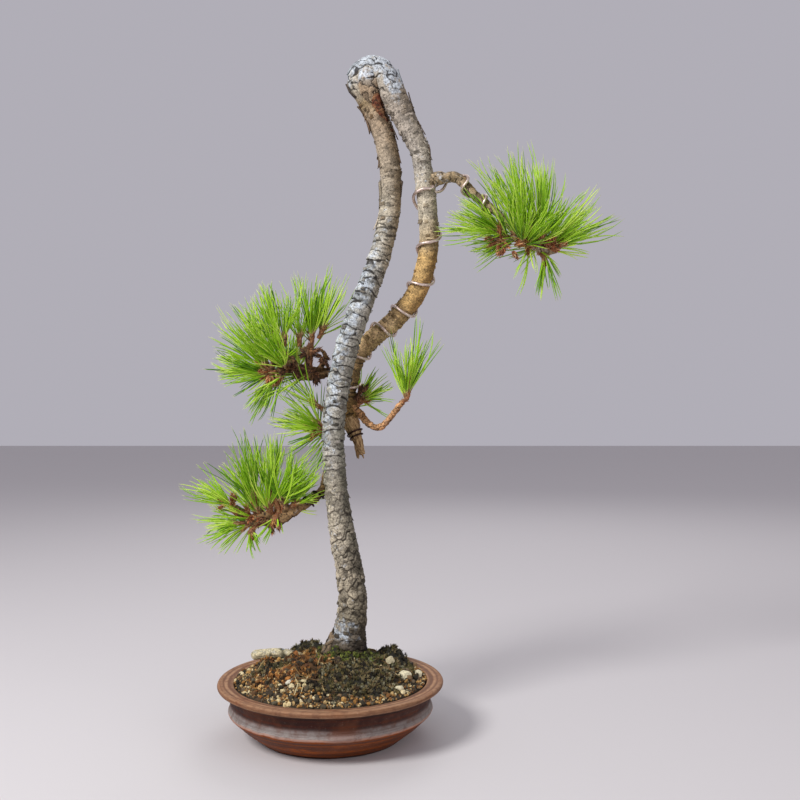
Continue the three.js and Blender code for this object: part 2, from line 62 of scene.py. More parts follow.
# Each limb runs through stations of x, y, z and radius.
RISING_TRUNK = [
    (12, 12, 44, 11), (12, 12, 55, 15.5), (12.5, 12, 66, 15.5), (14, 11.5, 78, 13), (16, 11, 92, 12),
    (16.5, 10, 107, 11.6), (14, 7.5, 129, 10.8), (9.5, 4, 154, 10.2), (3.5, -1, 199, 9.2),
    (2, -5, 242, 8.8), (5.5, -7, 271, 9), (11, -8, 300, 9.2), (19.5, -8, 328, 9.1), (31, -6, 358, 8.9),
    (40.5, -2, 387, 8.6), (46.5, 1, 416, 8.5), (47.5, 4, 446, 8.5), (43, 5.5, 476, 8.7), (36.5, 6, 493, 9),
]
FOLD = [
    (31, 6.5, 506, 9.2), (27, 6, 512.5, 9.2), (22, 4.5, 520, 9.3), (24, 2, 527.5, 9.3),
    (31.5, -1.5, 531, 9.4), (39.5, -4, 528, 9.5), (46, -5.5, 518, 9.9), (50.5, -5.5, 507, 10.2),
    (55, -5, 497, 9.8), (60.5, -4, 486, 9), (66.5, -2.5, 474, 8.2), (71, -1, 464, 7.7), (73, 0.5, 453, 7.5),
]
FALLING_LIMB = [
    (75, 2, 441, 8), (77.5, 4, 415, 7.7), (78.5, 6, 395, 7.7), (77, 7.5, 381, 7.8), (71.5, 10, 360, 8),
    (65, 12, 347.5, 8), (57, 14, 338, 7.9), (47.5, 16, 328.5, 7.7), (36, 17.5, 319.5, 7.5),
    (26, 18.5, 310, 7.4), (18.5, 19, 299, 7.3), (14, 19, 283, 7.2),
    (12, 18.5, 266, 7.2), (13.5, 17.5, 251, 7.4),
]
DEADWOOD_STUB = [(17, 15.5, 242, 6), (19.5, 14, 236, 4.2), (22, 12.5, 229, 3.4), (24.5, 11, 222, 2)]
SURFACE_ROOT = [
    (4, 13, 46, 4), (-14, 13.5, 52, 4), (-30, 11.5, 58.5, 3.9), (-46, 8, 61.5, 3.9), (-61, 4, 61, 3.9),
]
FLARE_ROOTS = [
    [(8, 11, 84, 5), (1, 9, 70, 6), (-6, 7, 58, 5), (-12, 5, 50, 4)],
    [(12, 16, 74, 7), (8, 24, 62, 6), (2, 34, 50, 4)],
    [(14, 16, 72, 7), (22, 22, 60, 5), (30, 28, 50, 4)],
]
BRANCHES = {
    "branch_upper_right": [
        (76, 2, 439, 8), (82, 1.2, 442.5, 6.2), (92, 0, 444, 4.4), (100, 0, 444, 4.2),
        (106, -0.5, 439.5, 4.1), (112, -1, 432, 4), (119.5, -2, 425.5, 3.8), (127, -3, 419, 3.4),
        (136, -4, 411.5, 3), (146, -5, 401, 3), (156, -5, 392, 3.4), (167, -4, 386.5, 3.4),
    ],
    "branch_upper_left": [
        (13.5, 19, 287, 4), (4, 16.5, 289, 3.7), (-6, 12.5, 289, 3.5), (-22, 8, 289.5, 3.4),
        (-38, 4, 288.5, 3.3), (-50, 2, 287, 3),
    ],
    "branch_lower_left": [
        (12, 18, 258, 4.6), (3, 16.5, 245, 4.3), (-1, 15, 228, 4), (-3, 14, 210, 4), (-8, 11.5, 193, 3.9),
        (-17.5, 6, 184.5, 3.8), (-27, 2, 179.5, 3.8), (-41, 0, 172.5, 4), (-52, 0, 168.5, 3.4),
        (-66, 0, 168, 2.8), (-75, 0, 173, 2.4),
    ],
    "branch_lower_right": [
        (12.5, 18, 262, 3.6), (20, 14.5, 258, 3), (27.5, 10, 249, 2.8), (33.5, 6, 244.5, 2.6),
        (39.5, 4, 244.5, 2.6), (44, 3, 248, 2.5), (49.5, 2, 255, 2.4), (57, 0.5, 264.5, 2.4),
    ],
}
# Each shoot leaves a branch at the first point, turns to its needles at the second, and its
# longest needles end near the third. Then come the half angle of its fan and its candle's length.
SHOOTS = {
    "shoot_upper_right_a": ((136, -4, 411), (132, -6, 400), (88, -14, 410), 34, 6),
    "shoot_upper_right_b": ((148, -5, 399), (152, -9, 404), (126, -20, 458), 26, 8),
    "shoot_upper_right_c": ((158, -5, 391), (166, -3, 397), (164, -2, 475), 17, 10),
    "shoot_upper_right_d": ((166, -4, 386.5), (176, -2, 388), (224, 0, 421), 34, 8),
    "shoot_upper_right_e": ((164, -4, 387), (169, -8, 378), (168, -14, 338), 24, 3),
    "shoot_upper_right_f": ((153, -5, 394), (152, -13, 390), (150, -58, 414), 34, 4),
    "shoot_upper_right_g": ((161, -5, 389), (166, 6, 390), (176, 54, 416), 34, 6),
    "shoot_upper_right_h": ((147, -5, 400), (141, 2, 392), (112, 34, 396), 30, 4),
    "shoot_upper_left_a": ((-49, 2, 287), (-57, 0, 288), (-96, -4, 297), 22, 5),
    "shoot_upper_left_b": ((-46, 3, 288), (-52, 4, 295), (-84, 0, 340), 22, 6),
    "shoot_upper_left_c": ((-42, 3.5, 289), (-43, 2, 313), (-60, -2, 358), 22, 8),
    "shoot_upper_left_d": ((-18, 9, 289), (-16, 8, 318), (-10, 4, 374), 27, 8),
    "shoot_upper_left_e": ((-44, 3, 288), (-48, 8, 281), (-68, 14, 250), 20, 3),
    "shoot_upper_left_f": ((-34, 5, 289), (-36, 14, 295), (-44, 56, 318), 32, 4),
    "shoot_upper_left_g": ((-36, 4.5, 288.5), (-38, -6, 294), (-58, -44, 320), 26, 4),
    "shoot_middle_left": ((0, 15, 236), (-13, 8, 244), (-49, 2, 256), 23, 6),
    "shoot_lower_left_a": ((-74, 0, 172), (-84, 0, 184), (-120, -3, 203), 20, 4),
    "shoot_lower_left_b": ((-66, 0, 168), (-76, -1, 167), (-110, -5, 162), 34, 4),
    "shoot_lower_left_c": ((-60, 0, 168), (-62, -1, 190), (-76, -6, 238), 22, 6),
    "shoot_lower_left_d": ((-48, 0, 170), (-48, 1, 194), (-49, 4, 242), 20, 6),
    "shoot_lower_left_e": ((-41, 0, 172.5), (-43, -2, 186), (-8, -12, 214), 24, 6),
    "shoot_lower_left_f": ((-58, 0, 168), (-64, -4, 160), (-58, -14, 142), 28, 3),
    "shoot_lower_left_g": ((-54, 0, 168.5), (-58, 10, 174), (-70, 50, 196), 32, 4),
    "shoot_lower_right": ((56, 0.5, 263.5), (60.5, 0, 268), (68, -1, 326), 27, 30),
    "shoot_behind_trunk": ((13, 18.5, 262), (22, 21, 264), (44, 26, 284), 32, 9),
}
TRAINING_WIRE_RADIUS = 1.2
THIN_WIRE_RADIUS = 0.75
WIRE_STANDOFF = 0.35
LEVEL_FRONT = 0.65  # how far the wire lies square to its limb where it crosses the front, 1 for fully
# Each winding is a count of turns, whole ones at the front, and the distance along its route.
WIRES = {
    "training_wire": (
        [*reversed(FALLING_LIMB), (84, 1, 441, 6.8), *BRANCHES["branch_upper_right"][2:9]],
        [(0.55, 13), (1, 25), (2, 52), (3, 84), (4, 105), (5, 131), (6, 165), (7, 207), (7.12, 210),
         (7.25, 228), (8, 250), (9, 271), (9.4, 279)],
        TRAINING_WIRE_RADIUS,
    ),
    "collar_wire": ([FALLING_LIMB[-1], *DEADWOOD_STUB], [(0.5, 11), (2.5, 18)], THIN_WIRE_RADIUS),
    "lower_branch_wire": (BRANCHES["branch_lower_left"][3:8], [(0.5, 19), (2.5, 38)], THIN_WIRE_RADIUS),
}
# Each cushion's middle, its half width and depth, and how high it rises.
MOSSES = {
    "moss_trunk_foot": (15, 3, 27, 17, 4),
    "moss_right_mound": (50, 25, 15, 14, 9),
    "moss_left_mound": (-22, 31, 19, 12, 7),
    "moss_front": (22, -38, 30, 25, 3.5),
    "moss_left": (-46, -12, 17, 9, 3),
}
# Each stone's place and its half size.
STONES = {
    "stone_1": (-28, -40, 4),
    "stone_2": (59, -16, 5),
    "stone_3": (47, 1, 4),
    "stone_4": (69, 2, 4),
    "stone_5": (54, -42, 3.6),
}


# ---------------------------------------------------------------- small helpers

def linear(hex_colour):
    """An sRGB hex value as linear red, green, blue and 1."""
    parts = [int(hex_colour[i:i + 2], 16) / 255 for i in (1, 3, 5)]
    return (*[p / 12.92 if p <= 0.04045 else ((p + 0.055) / 1.055) ** 2.4 for p in parts], 1.0)


def blend(a, b, share):
    """Two tuples of numbers mixed, number by number."""
    return tuple(x + (y - x) * share for x, y in zip(a, b))


def smooth_step(low, high, value):
    """0 below low, 1 above high, and an even ease between them."""
    share = min(1.0, max(0.0, (value - low) / (high - low)))
    return share * share * (3 - 2 * share)


def from_stations(table, place):
    """The row of a table at a place between its stations. The first number of each row is its station."""
    if place <= table[0][0]:
        return table[0][1:]
    for before, after in zip(table, table[1:]):
        if place <= after[0]:
            share = (place - before[0]) / (after[0] - before[0])
            return [
                blend(a, b, share) if isinstance(a, tuple) else a + (b - a) * share
                for a, b in zip(before[1:], after[1:])
            ]
    return table[-1][1:]


def square_to(direction):
    """Two directions of length 1 that are square to this one and to each other."""
    side = direction.cross(UP) if abs(direction.z) < 0.9 * direction.length else direction.cross(FRONT)
    side.normalize()
    return side, direction.cross(side).normalized()


class Route:
    """A smooth line through stations, measured by its length. It is the same line as the solid's."""

    STEPS = 24

    def __init__(self, stations):
        points = [Vector(s[:3]) for s in stations]
        ends = [2 * points[0] - points[1], *points, 2 * points[-1] - points[-2]]
        self.points, self.radii, self.places = [], [], []
        for i in range(len(points) - 1):
            for step in range(self.STEPS + (i == len(points) - 2)):
                share = step / self.STEPS
                self.points.append(self.between(ends[i:i + 4], share))
                self.radii.append(stations[i][3] + (stations[i + 1][3] - stations[i][3]) * share)
                self.places.append(i + share)
        self.lengths = [0.0]
        for a, b in zip(self.points, self.points[1:]):
            self.lengths.append(self.lengths[-1] + (b - a).length)
        self.length = self.lengths[-1]
        self.carry_frames()

    @staticmethod
    def between(four, share):
        """A centripetal spline between the middle two of four points."""
        a, b, c, d = four
        gaps = [max((q - p).length_squared ** 0.25, 1e-4) for p, q in ((a, b), (b, c), (c, d))]
        start = (b - a) / gaps[0] - (c - a) / (gaps[0] + gaps[1]) + (c - b) / gaps[1]
        end = (c - b) / gaps[1] - (d - b) / (gaps[1] + gaps[2]) + (d - c) / gaps[2]
        start, end = start * gaps[1], end * gaps[1]
        return (
            b + start * share
            + (-3 * b + 3 * c - 2 * start - end) * share ** 2
            + (2 * b - 2 * c + start + end) * share ** 3
        )

    def carry_frames(self):
        """Carries one side direction along the line without twisting it."""
        self.tangents = [
            (self.points[min(i + 1, len(self.points) - 1)] - self.points[max(i - 1, 0)]).normalized()
            for i in range(len(self.points))
        ]
        first = self.tangents[0]
        side = FRONT - first * FRONT.dot(first)
        side = side.normalized() if side.length > 0.2 else square_to(first)[0]
        self.sides = []
        for tangent in self.tangents:
            side = (side - tangent * side.dot(tangent)).normalized()
            self.sides.append(side.copy())

    def at(self, distance):
        """Centre, radius, tangent, side direction and station at a distance along the line."""
        distance = min(max(distance, 0.0), self.length)
        low, high = 0, len(self.lengths) - 1
        while high - low > 1:
            middle = (low + high) // 2
            if self.lengths[middle] <= distance:
                low = middle
            else:
                high = middle
        share = (distance - self.lengths[low]) / max(self.lengths[high] - self.lengths[low], 1e-9)
        return (
            self.points[low].lerp(self.points[high], share),
            self.radii[low] + (self.radii[high] - self.radii[low]) * share,
            self.tangents[low].lerp(self.tangents[high], share).normalized(),
            self.sides[low].lerp(self.sides[high], share).normalized(),
            self.places[low] + (self.places[high] - self.places[low]) * share,
        )


def as_mesh(bm, name):
    """Turns a finished bmesh into a mesh of this name."""
    mesh = bpy.data.meshes.new(name)
    bm.to_mesh(mesh)
    bm.free()
    return mesh


def placed(name, data):
    """A new object in the scene, at the origin."""
    made = bpy.data.objects.new(name, data)
    bpy.context.scene.collection.objects.link(made)
    return made


def any_way(rng):
    """A vector that points any way, with no length in particular."""
    return Vector([rng.gauss(0, 1) for _ in range(3)])


def tumbled(rng, lean):
    """A turn by any angle about the upright, after a lean of up to so much."""
    turn = Matrix.Rotation(rng.uniform(0, 6.28), 3, "Z")
    return turn @ Matrix.Rotation(rng.uniform(0, lean), 3, "X")


class Piece:
    """A mesh being built in millimetres, with what its materials read at each point:
    straight, its place on the straightened limb; tone, its own colour; and marks, three weights."""

    BATCH = 4000

    def __init__(self, name):
        self.name = name
        self.batches = []
        self.open()

    def open(self):
        """Starts an empty batch of the mesh."""
        self.bm = bmesh.new()
        self.straight = self.bm.verts.layers.float_vector.new("straight")
        self.tone = self.bm.verts.layers.float_color.new("tone")
        self.marks = self.bm.verts.layers.float_vector.new("marks")

    def put_by(self):
        """Sets the batch aside, because each new copy costs more in a big one."""
        self.batches.append(as_mesh(self.bm, self.name + "_batch"))
        self.open()

    def copy_in(self, template, place, tone=(1, 1, 1, 1), marks=(0, 0, 0), material=0, smooth=True):
        """Adds one copy of a template, with every point moved by place()."""
        if len(self.bm.verts) > self.BATCH:
            self.put_by()
        bm = self.bm
        first_vert, first_face = len(bm.verts), len(bm.faces)
        bm.from_mesh(template)
        bm.verts.ensure_lookup_table()
        bm.faces.ensure_lookup_table()
        for vert in bm.verts[first_vert:]:
            spot = vert.co.copy()
            vert.co = place(spot)
            vert[self.straight] = vert.co
            vert[self.tone] = tone
            vert[self.marks] = marks(spot) if callable(marks) else marks
        for face in bm.faces[first_face:]:
            face.material_index = material
            face.smooth = smooth

    def tube(self, route, sides, gap, skin, material=0, start=0.0, end=None):
        """Rolls a sheet into a tube along a route, or along a stretch of it. skin() gives each point's
        lift from the limb's radius, its tone and its marks, from its straightened place, its outward
        direction, its station and the limb's centre there."""
        self.put_by()
        bm = self.bm
        end = route.length if end is None else end
        rings = max(2, round((end - start) / gap))
        sheet = bmesh.ops.create_grid(bm, x_segments=sides, y_segments=rings, size=1)["verts"]
        rows = [route.at(start + (end - start) * i / rings) for i in range(rings + 1)]
        seam = [v for v in sheet if abs(v.co.x) > 1 - 0.5 / sides]
        for vert in sheet:
            angle, share = math.pi * vert.co.x, 0.5 + 0.5 * vert.co.y
            centre, radius, tangent, side, station = rows[round(share * rings)]
            out = side * math.cos(angle) + tangent.cross(side) * math.sin(angle)
            spot = Vector((radius * math.cos(angle), radius * math.sin(angle), start + (end - start) * share))
            lift, tone, marks = skin(spot, out, station, centre)
            vert.co = centre + out * (radius + lift)
            vert[self.straight] = spot
            vert[self.tone] = tone
            vert[self.marks] = marks
        bmesh.ops.remove_doubles(bm, verts=seam, dist=1e-3)
        bmesh.ops.holes_fill(bm, edges=[e for e in bm.edges if e.is_boundary])
        bmesh.ops.recalc_face_normals(bm, faces=bm.faces)
        for face in bm.faces:
            face.material_index = material
            face.smooth = True
        self.put_by()

    def finished(self, materials, replaces=()):
        """Turns the piece to metres, and hands it over with its finish."""
        for batch in self.batches:
            self.bm.from_mesh(batch)
            bpy.data.meshes.remove(batch)
        self.bm.transform(Matrix.Scale(MM, 4))
        mesh = as_mesh(self.bm, self.name)
        for material in materials:
            mesh.materials.append(material)
        piece = placed(self.name, mesh)
        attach(piece, "root")
        if replaces:
            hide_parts(*replaces)
        return piece


def ring_edges(ring):
    """The edges that join the points of one ring."""
    inside = set(ring)
    return [e for e in {e for v in ring for e in v.link_edges} if e.other_vert(e.verts[0]) in inside
            and e.verts[0] in inside]


def template(name, build):
    """A small mesh, made once by build() and copied many times."""
    bm = bmesh.new()
    build(bm)
    return as_mesh(bm, name)


# ---------------------------------------------------------------- templates

NEEDLE_RINGS = [(0.0, 0.8), (0.08, 1.0), (0.3, 1.0), (0.55, 0.95), (0.78, 0.8), (0.93, 0.5), (1.0, 0.08)]


def build_needle(bm):
    """A thin half-round leaf one unit long, which tapers to its point."""
    ring = bmesh.ops.create_circle(bm, segments=4, radius=1, cap_ends=True)["verts"]
    face = bm.faces[:][0]
    bm.normal_update()
    bmesh.ops.reverse_faces(bm, faces=[face])
    bmesh.ops.scale(bm, vec=(NEEDLE_RINGS[0][1],) * 3, verts=ring)
    ring_scale = NEEDLE_RINGS[0][1]
    edges = list(bm.edges)
    last_height = 0.0
    for height, width in NEEDLE_RINGS[1:]:
        made = bmesh.ops.extrude_edge_only(bm, edges=edges)["geom"]
        ring = [g for g in made if isinstance(g, bmesh.types.BMVert)]
        edges = ring_edges(ring)
        bmesh.ops.translate(bm, vec=(0, 0, height - last_height), verts=ring)
        centre = Vector((0, 0, height))
        bmesh.ops.scale(
            bm, vec=(width / ring_scale, width / ring_scale, 1), verts=ring,
            space=Matrix.Translation(-centre),
        )
        ring_scale, last_height = width, height
    bmesh.ops.contextual_create(bm, geom=edges)
    bmesh.ops.recalc_face_normals(bm, faces=bm.faces)


def build_sheath(bm):
    """The short papery sleeve round the foot of a pair of needles."""
    bmesh.ops.create_cone(bm, cap_ends=True, segments=5, radius1=1, radius2=0.75, depth=1)
    bmesh.ops.translate(bm, vec=(0, 0, 0.5), verts=bm.verts)


def build_scale_leaf(bm):
    """A small pointed scale, broad at its foot and one unit long."""
    bmesh.ops.create_cone(bm, cap_ends=True, segments=6, radius1=0.5, radius2=0.02, depth=1)
    bmesh.ops.translate(bm, vec=(0, 0, 0.5), verts=bm.verts)
    bmesh.ops.scale(bm, vec=(1, 0.4, 1), verts=bm.verts)


def build_flake(bm):
    """A thin plate of bark, one unit wide and long."""
    bmesh.ops.create_cube(bm, size=1)
    bmesh.ops.subdivide_edges(bm, edges=bm.edges, cuts=2, use_grid_fill=True)


def build_grain(bm):
    """A crushed granule, one unit across."""
    bmesh.ops.create_icosphere(bm, subdivisions=1, radius=0.5)


def build_moss_tuft(bm):
    """Seven little moss leaves that spread from one foot, one unit tall."""
    leaves = 7
    for i in range(leaves):
        made = bmesh.ops.create_cone(
            bm, cap_ends=True, segments=3, radius1=0.2, radius2=0.01, depth=1,
        )["verts"]
        bmesh.ops.translate(bm, vec=(0, 0, 0.5), verts=made)
        lean = Matrix.Rotation(0.25 + 0.5 * (i % 3) / 2 if i else 0, 4, "X")
        turn = Matrix.Rotation(i * GOLDEN_ANGLE, 4, "Z")
        bmesh.ops.transform(bm, matrix=turn @ lean, verts=made)


NEEDLE = template("needle_template", build_needle)
SHEATH = template("sheath_template", build_sheath)
SCALE_LEAF = template("scale_leaf_template", build_scale_leaf)
FLAKE = template("flake_template", build_flake)
GRAIN = template("grain_template", build_grain)
MOSS_TUFT = template("moss_tuft_template", build_moss_tuft)


# ---------------------------------------------------------------- materials

def plug(node, inputs):
    """Sets a node's inputs, given by name or in their order: a number, a colour or another node's output."""
    for name, value in inputs.items() if isinstance(inputs, dict) else enumerate(inputs):
        if isinstance(value, bpy.types.NodeSocket):
            node.id_data.links.new(value, node.inputs[name])
        else:
            node.inputs[name].default_value = value


def add(tree, kind, inputs=(), out=0, **settings):
    """Adds one node with its settings and links, and gives back one of its outputs."""
    node = tree.nodes.new("ShaderNode" + kind)
    for name, value in settings.items():
        setattr(node, name, value)
    plug(node, inputs)
    return node.outputs[out]


def new_material(name):
    """A node material, its tree and its shader."""
    material = bpy.data.materials.new(name)
    material.use_nodes = True
    return material, material.node_tree, material.node_tree.nodes["Principled BSDF"]


def overlaid(tree, base, coats, ease="SMOOTHSTEP"):
    """Lays coats over a base colour. Each coat has its pattern, the two values of the pattern that it
    changes between, its strength at each of them, and its colour."""
    for pattern, low, high, at_low, at_high, colour in coats:
        strength = add(tree, "MapRange", (pattern, low, high, at_low, at_high), interpolation_type=ease)
        base = add(tree, "Mix", {0: strength, 6: base, 7: colour}, 2, data_type="RGBA")
    return base


# How one colour makes another darker or lighter. A Mix node takes colours at its inputs 6 and 7.
SHADED = {"out": 2, "data_type": "RGBA", "blend_type": "MULTIPLY"}
EASED = {"interpolation_type": "SMOOTHSTEP"}


def pine_bark():
    """Scaly pine bark, grown: matt grey-brown plates, dark in their cracks (partly painted shade), under pale
    lichen.
    """
    material, tree, shader = new_material("weathered_pine_bark")
    straight = add(tree, "Attribute", out="Vector", attribute_name="straight")
    tone = add(tree, "Attribute", out="Color", attribute_name="tone")
    marks = add(tree, "Attribute", out="Vector", attribute_name="marks")
    crack, plate, lichen = add(tree, "SeparateXYZ", [marks]).node.outputs
    # Scales are in turns of the pattern per millimetre: fibres about 1.3 mm, lichen about 5 mm.
    fibre = add(tree, "TexNoise", {"Vector": straight, "Scale": 0.75, "Detail": 8, "Roughness": 0.7})
    patch = add(tree, "TexNoise", {"Vector": straight, "Scale": 0.2, "Detail": 7, "Roughness": 0.72})
    speck = add(tree, "TexNoise", {"Vector": straight, "Scale": 0.62, "Detail": 3, "Roughness": 0.6})
    growth = add(tree, "MapRange", (lichen, 0, 1, 0, 0.34))
    cover = add(tree, "Math", (patch, growth), operation="ADD")
    pale = overlaid(tree, tone, [(cover, 0.66, 0.84, 0, 0.85, linear("#b4bcc4"))])
    fibre_shade = add(tree, "MapRange", (fibre, 0.32, 0.68, 0.5, 1.42), **EASED)
    plate_shade = add(tree, "MapRange", (plate, -1, 1, 0.62, 1.3), **EASED)
    shade = add(tree, "Math", (fibre_shade, plate_shade), operation="MULTIPLY")
    shaded = add(tree, "Mix", {0: 1, 6: pale, 7: shade}, **SHADED)
    # Cracks painted near black: partly the inner bark's own colour, partly painted shade in their depth.
    cracked = overlaid(tree, shaded, [
        (speck, 0.58, 0.67, 0, 0.8, linear("#3a3027")),
        (crack, 0.1, 0.9, 0, 0.9, linear("#1e1712")),
    ])
    bump = add(tree, "Bump", {"Height": fibre, "Strength": 0.55, "Distance": 0.6 * MM})
    plug(shader, {"Base Color": cracked, "Normal": bump, "Roughness": 0.88, "Specular IOR Level": 0.3})
    return material


def bare_wood():
    """Torn heartwood, bleached by weather: dull golden fibres that run along the stub."""
    material, tree, shader = new_material("weathered_bare_pine_wood")
    straight = add(tree, "Attribute", out="Vector", attribute_name="straight")
    drawn = add(tree, "Mapping", {"Vector": straight, "Scale": (1.4, 1.4, 0.12)})
    fibre = add(tree, "TexNoise", {"Vector": drawn, "Scale": 1, "Detail": 6, "Roughness": 0.65})
    colour = overlaid(tree, linear("#6b4a26"), [(fibre, 0.35, 0.66, 0, 1, linear("#c9a878"))])
    bump = add(tree, "Bump", {"Height": fibre, "Strength": 0.8, "Distance": 0.8 * MM})
    plug(shader, {"Base Color": colour, "Normal": bump, "Roughness": 0.8})
    return material


def needle_leaf():
    """Living pine needle, waxy: bright yellow-green, paler at foot and tip, with a soft gloss."""
    material, tree, shader = new_material("living_pine_needle")
    marks = add(tree, "Attribute", out="Vector", attribute_name="marks")
    along, tint, _ = add(tree, "SeparateXYZ", [marks]).node.outputs
    greens = [(tint, 0, 0.5, 0, 1, linear("#9ccc1e")), (tint, 0.5, 1, 0, 1, linear("#d2ee5c"))]
    green = overlaid(tree, linear("#4f8010"), greens, "LINEAR")
    tipped = overlaid(tree, green, [
        (along, 0.02, 0.2, 0.75, 0, linear("#cfd27e")),
        (along, 0.9, 1, 0, 0.8, linear("#e0dba0")),
    ])
    plug(shader, {"Base Color": tipped, "Roughness": 0.5, "Specular IOR Level": 0.35})
    return material


def scaly_twig():
    """Young pine shoot and its bud scales: dry red-brown to golden papery scales."""
    material, tree, shader = new_material("scaly_pine_shoot")
    straight = add(tree, "Attribute", out="Vector", attribute_name="straight")
    tone = add(tree, "Attribute", out="Color", attribute_name="tone")
    grain = add(tree, "TexNoise", {"Vector": straight, "Scale": 0.9, "Detail": 6, "Roughness": 0.7})
    shade = add(tree, "MapRange", (grain, 0.3, 0.7, 0.6, 1.35), **EASED)
    colour = add(tree, "Mix", {0: 1, 6: tone, 7: shade}, **SHADED)
    bump = add(tree, "Bump", {"Height": grain, "Strength": 0.5, "Distance": 0.4 * MM})
    plug(shader, {"Base Color": colour, "Normal": bump, "Roughness": 0.72})
    return material


def anodised_wire(name, colour, worn):
    """Anodised aluminium wire, drawn and bent by hand: a satin metal with duller rubbed streaks."""
    material, tree, shader = new_material(name)
    spot = add(tree, "TexCoord", out="Object")
    rub = add(tree, "TexNoise", {"Vector": spot, "Scale": 0.25 / MM, "Detail": 5, "Roughness": 0.6})
    rubbed = overlaid(tree, linear(colour), [(rub, 0.4, 0.66, 0, 1, linear(worn))])
    duller = add(tree, "MapRange", (rub, 0.35, 0.7, 0.42, 0.58), **EASED)
    plug(shader, {"Base Color": rubbed, "Roughness": duller, "Metallic": 1})
    return material


def fired_stoneware():
    """Stoneware thrown on a wheel and wood-ash glazed: dry brown clay with throwing lines, a tan lip,
    a neck darkened as painted shade under the overhanging lip, a painted highlight just under
    the ridge, and pale grey ash caught on the ledge above the ridge."""
    material, tree, shader = new_material("ash_glazed_stoneware")
    spot = add(tree, "TexCoord", out="Object")
    # Cloudy firing marks are about 30 mm across, flame marks 6 mm, and the grit of the clay under 1 mm.
    cloud = add(tree, "TexNoise", {"Vector": spot, "Scale": 0.035 / MM, "Detail": 5, "Roughness": 0.6})
    mottle = add(tree, "TexNoise", {"Vector": spot, "Scale": 0.16 / MM, "Detail": 6, "Roughness": 0.65})
    grit = add(tree, "TexNoise", {"Vector": spot, "Scale": 0.9 / MM, "Detail": 4, "Roughness": 0.7})
    # Throwing lines lie 1 to 3 mm apart round the wheel's axis, on the lip and the walls alike.
    x, y, z = add(tree, "SeparateXYZ", [spot]).node.outputs
    level = add(tree, "CombineXYZ", (x, y))
    away = add(tree, "VectorMath", [level], "Value", operation="LENGTH")
    drift = add(tree, "MapRange", (cloud, 0, 1, 0, 5 * MM))
    turned = add(tree, "CombineXYZ", (away, drift, z))
    lines = add(tree, "TexNoise", {"Vector": turned, "Scale": 0.34 / MM, "Detail": 5, "Roughness": 0.6})
    wander = add(tree, "MapRange", (cloud, 0.3, 0.7, -1.2 * MM, 1.2 * MM))
    height = add(tree, "Math", (z, wander), operation="ADD")

    def streaked(dark, light, low=0.38, high=0.64):
        """A clay or glaze that is lighter along its throwing lines."""
        return overlaid(tree, linear(dark), [(lines, low, high, 0, 1, linear(light))])

    banded = overlaid(tree, streaked("#431a02", "#9c4c0a"), [
        # Painted highlight: a pale line just under the ridge.
        (height, 20.2 * MM, 20.9 * MM, 0, 0.8, linear("#b08f80")),
        (height, 21.7 * MM, 22.6 * MM, 0, 1, streaked("#5e504a", "#98908b", 0.36, 0.66)),
        # Painted shade: the neck under the overhanging lip, in near-black browns.
        (height, 24 * MM, 29.8 * MM, 0, 1, streaked("#200903", "#42190c")),
        (height, 38.6 * MM, 40.4 * MM, 0, 1, streaked("#6e482e", "#b08868")),
    ])
    fired = overlaid(tree, banded, [
        (cloud, 0.45, 0.7, 0, 0.35, linear("#8a4a22")),
        (mottle, 0.46, 0.7, 0, 0.5, linear("#56301f")),
        (grit, 0.6, 0.72, 0, 0.5, linear("#2e1a12")),
        (grit, 0.28, 0.36, 0.35, 0, linear("#d8c4b0")),
    ])
    dull = add(tree, "MapRange", (lines, 0.3, 0.7, 0.55, 0.8), **EASED)
    relief = add(tree, "Math", (lines, grit), operation="ADD")
    bump = add(tree, "Bump", {"Height": relief, "Strength": 0.5, "Distance": 0.35 * MM})
    plug(shader, {"Base Color": fired, "Normal": bump, "Roughness": dull, "Specular IOR Level": 0.3})
    return material


def ground_matter(name, roughness=0.92):
    """Soil granules, moss or stone, each grain in its own tone: dry, matt and finely pitted."""
    material, tree, shader = new_material(name)
    tone = add(tree, "Attribute", out="Color", attribute_name="tone")
    spot = add(tree, "TexCoord", out="Object")
    grain = add(tree, "TexNoise", {"Vector": spot, "Scale": 0.8 / MM, "Detail": 6, "Roughness": 0.75})
    shade = add(tree, "MapRange", (grain, 0.3, 0.72, 0.62, 1.32), **EASED)
    colour = add(tree, "Mix", {0: 1, 6: tone, 7: shade}, **SHADED)
    bump = add(tree, "Bump", {"Height": grain, "Strength": 0.6, "Distance": 0.4 * MM})
    plug(shader, {"Base Color": colour, "Normal": bump, "Roughness": roughness})
    return material


def moulded_screen():
    """Moulded polyethylene drain screen: dark, slightly waxy plastic dusted with soil."""
    material, tree, shader = new_material("moulded_polyethylene_screen")
    spot = add(tree, "TexCoord", out="Object")
    dust = add(tree, "TexNoise", {"Vector": spot, "Scale": 0.6 / MM, "Detail": 5})
    colour = overlaid(tree, linear("#1d2220"), [(dust, 0.45, 0.68, 0, 1, linear("#5e5344"))])
    plug(shader, {"Base Color": colour, "Roughness": 0.55})
    return material


BARK = pine_bark()
BARE_WOOD = bare_wood()
NEEDLE_LEAF = needle_leaf()
SCALY_TWIG = scaly_twig()
BROWN_WIRE = anodised_wire("brown_anodised_aluminium", "#e2d0c6", "#bfa99c")
DARK_WIRE = anodised_wire("aged_dark_anodised_aluminium", "#4a3530", "#2c1f1c")
STONEWARE = fired_stoneware()
GRIT = ground_matter("crushed_pumice_and_clay_grit")
MOSS = ground_matter("dry_cushion_moss", 0.95)
SOIL = ground_matter("baked_clay_soil", 0.95)
STONE = ground_matter("crushed_pumice_stone", 0.85)
SCREEN = moulded_screen()
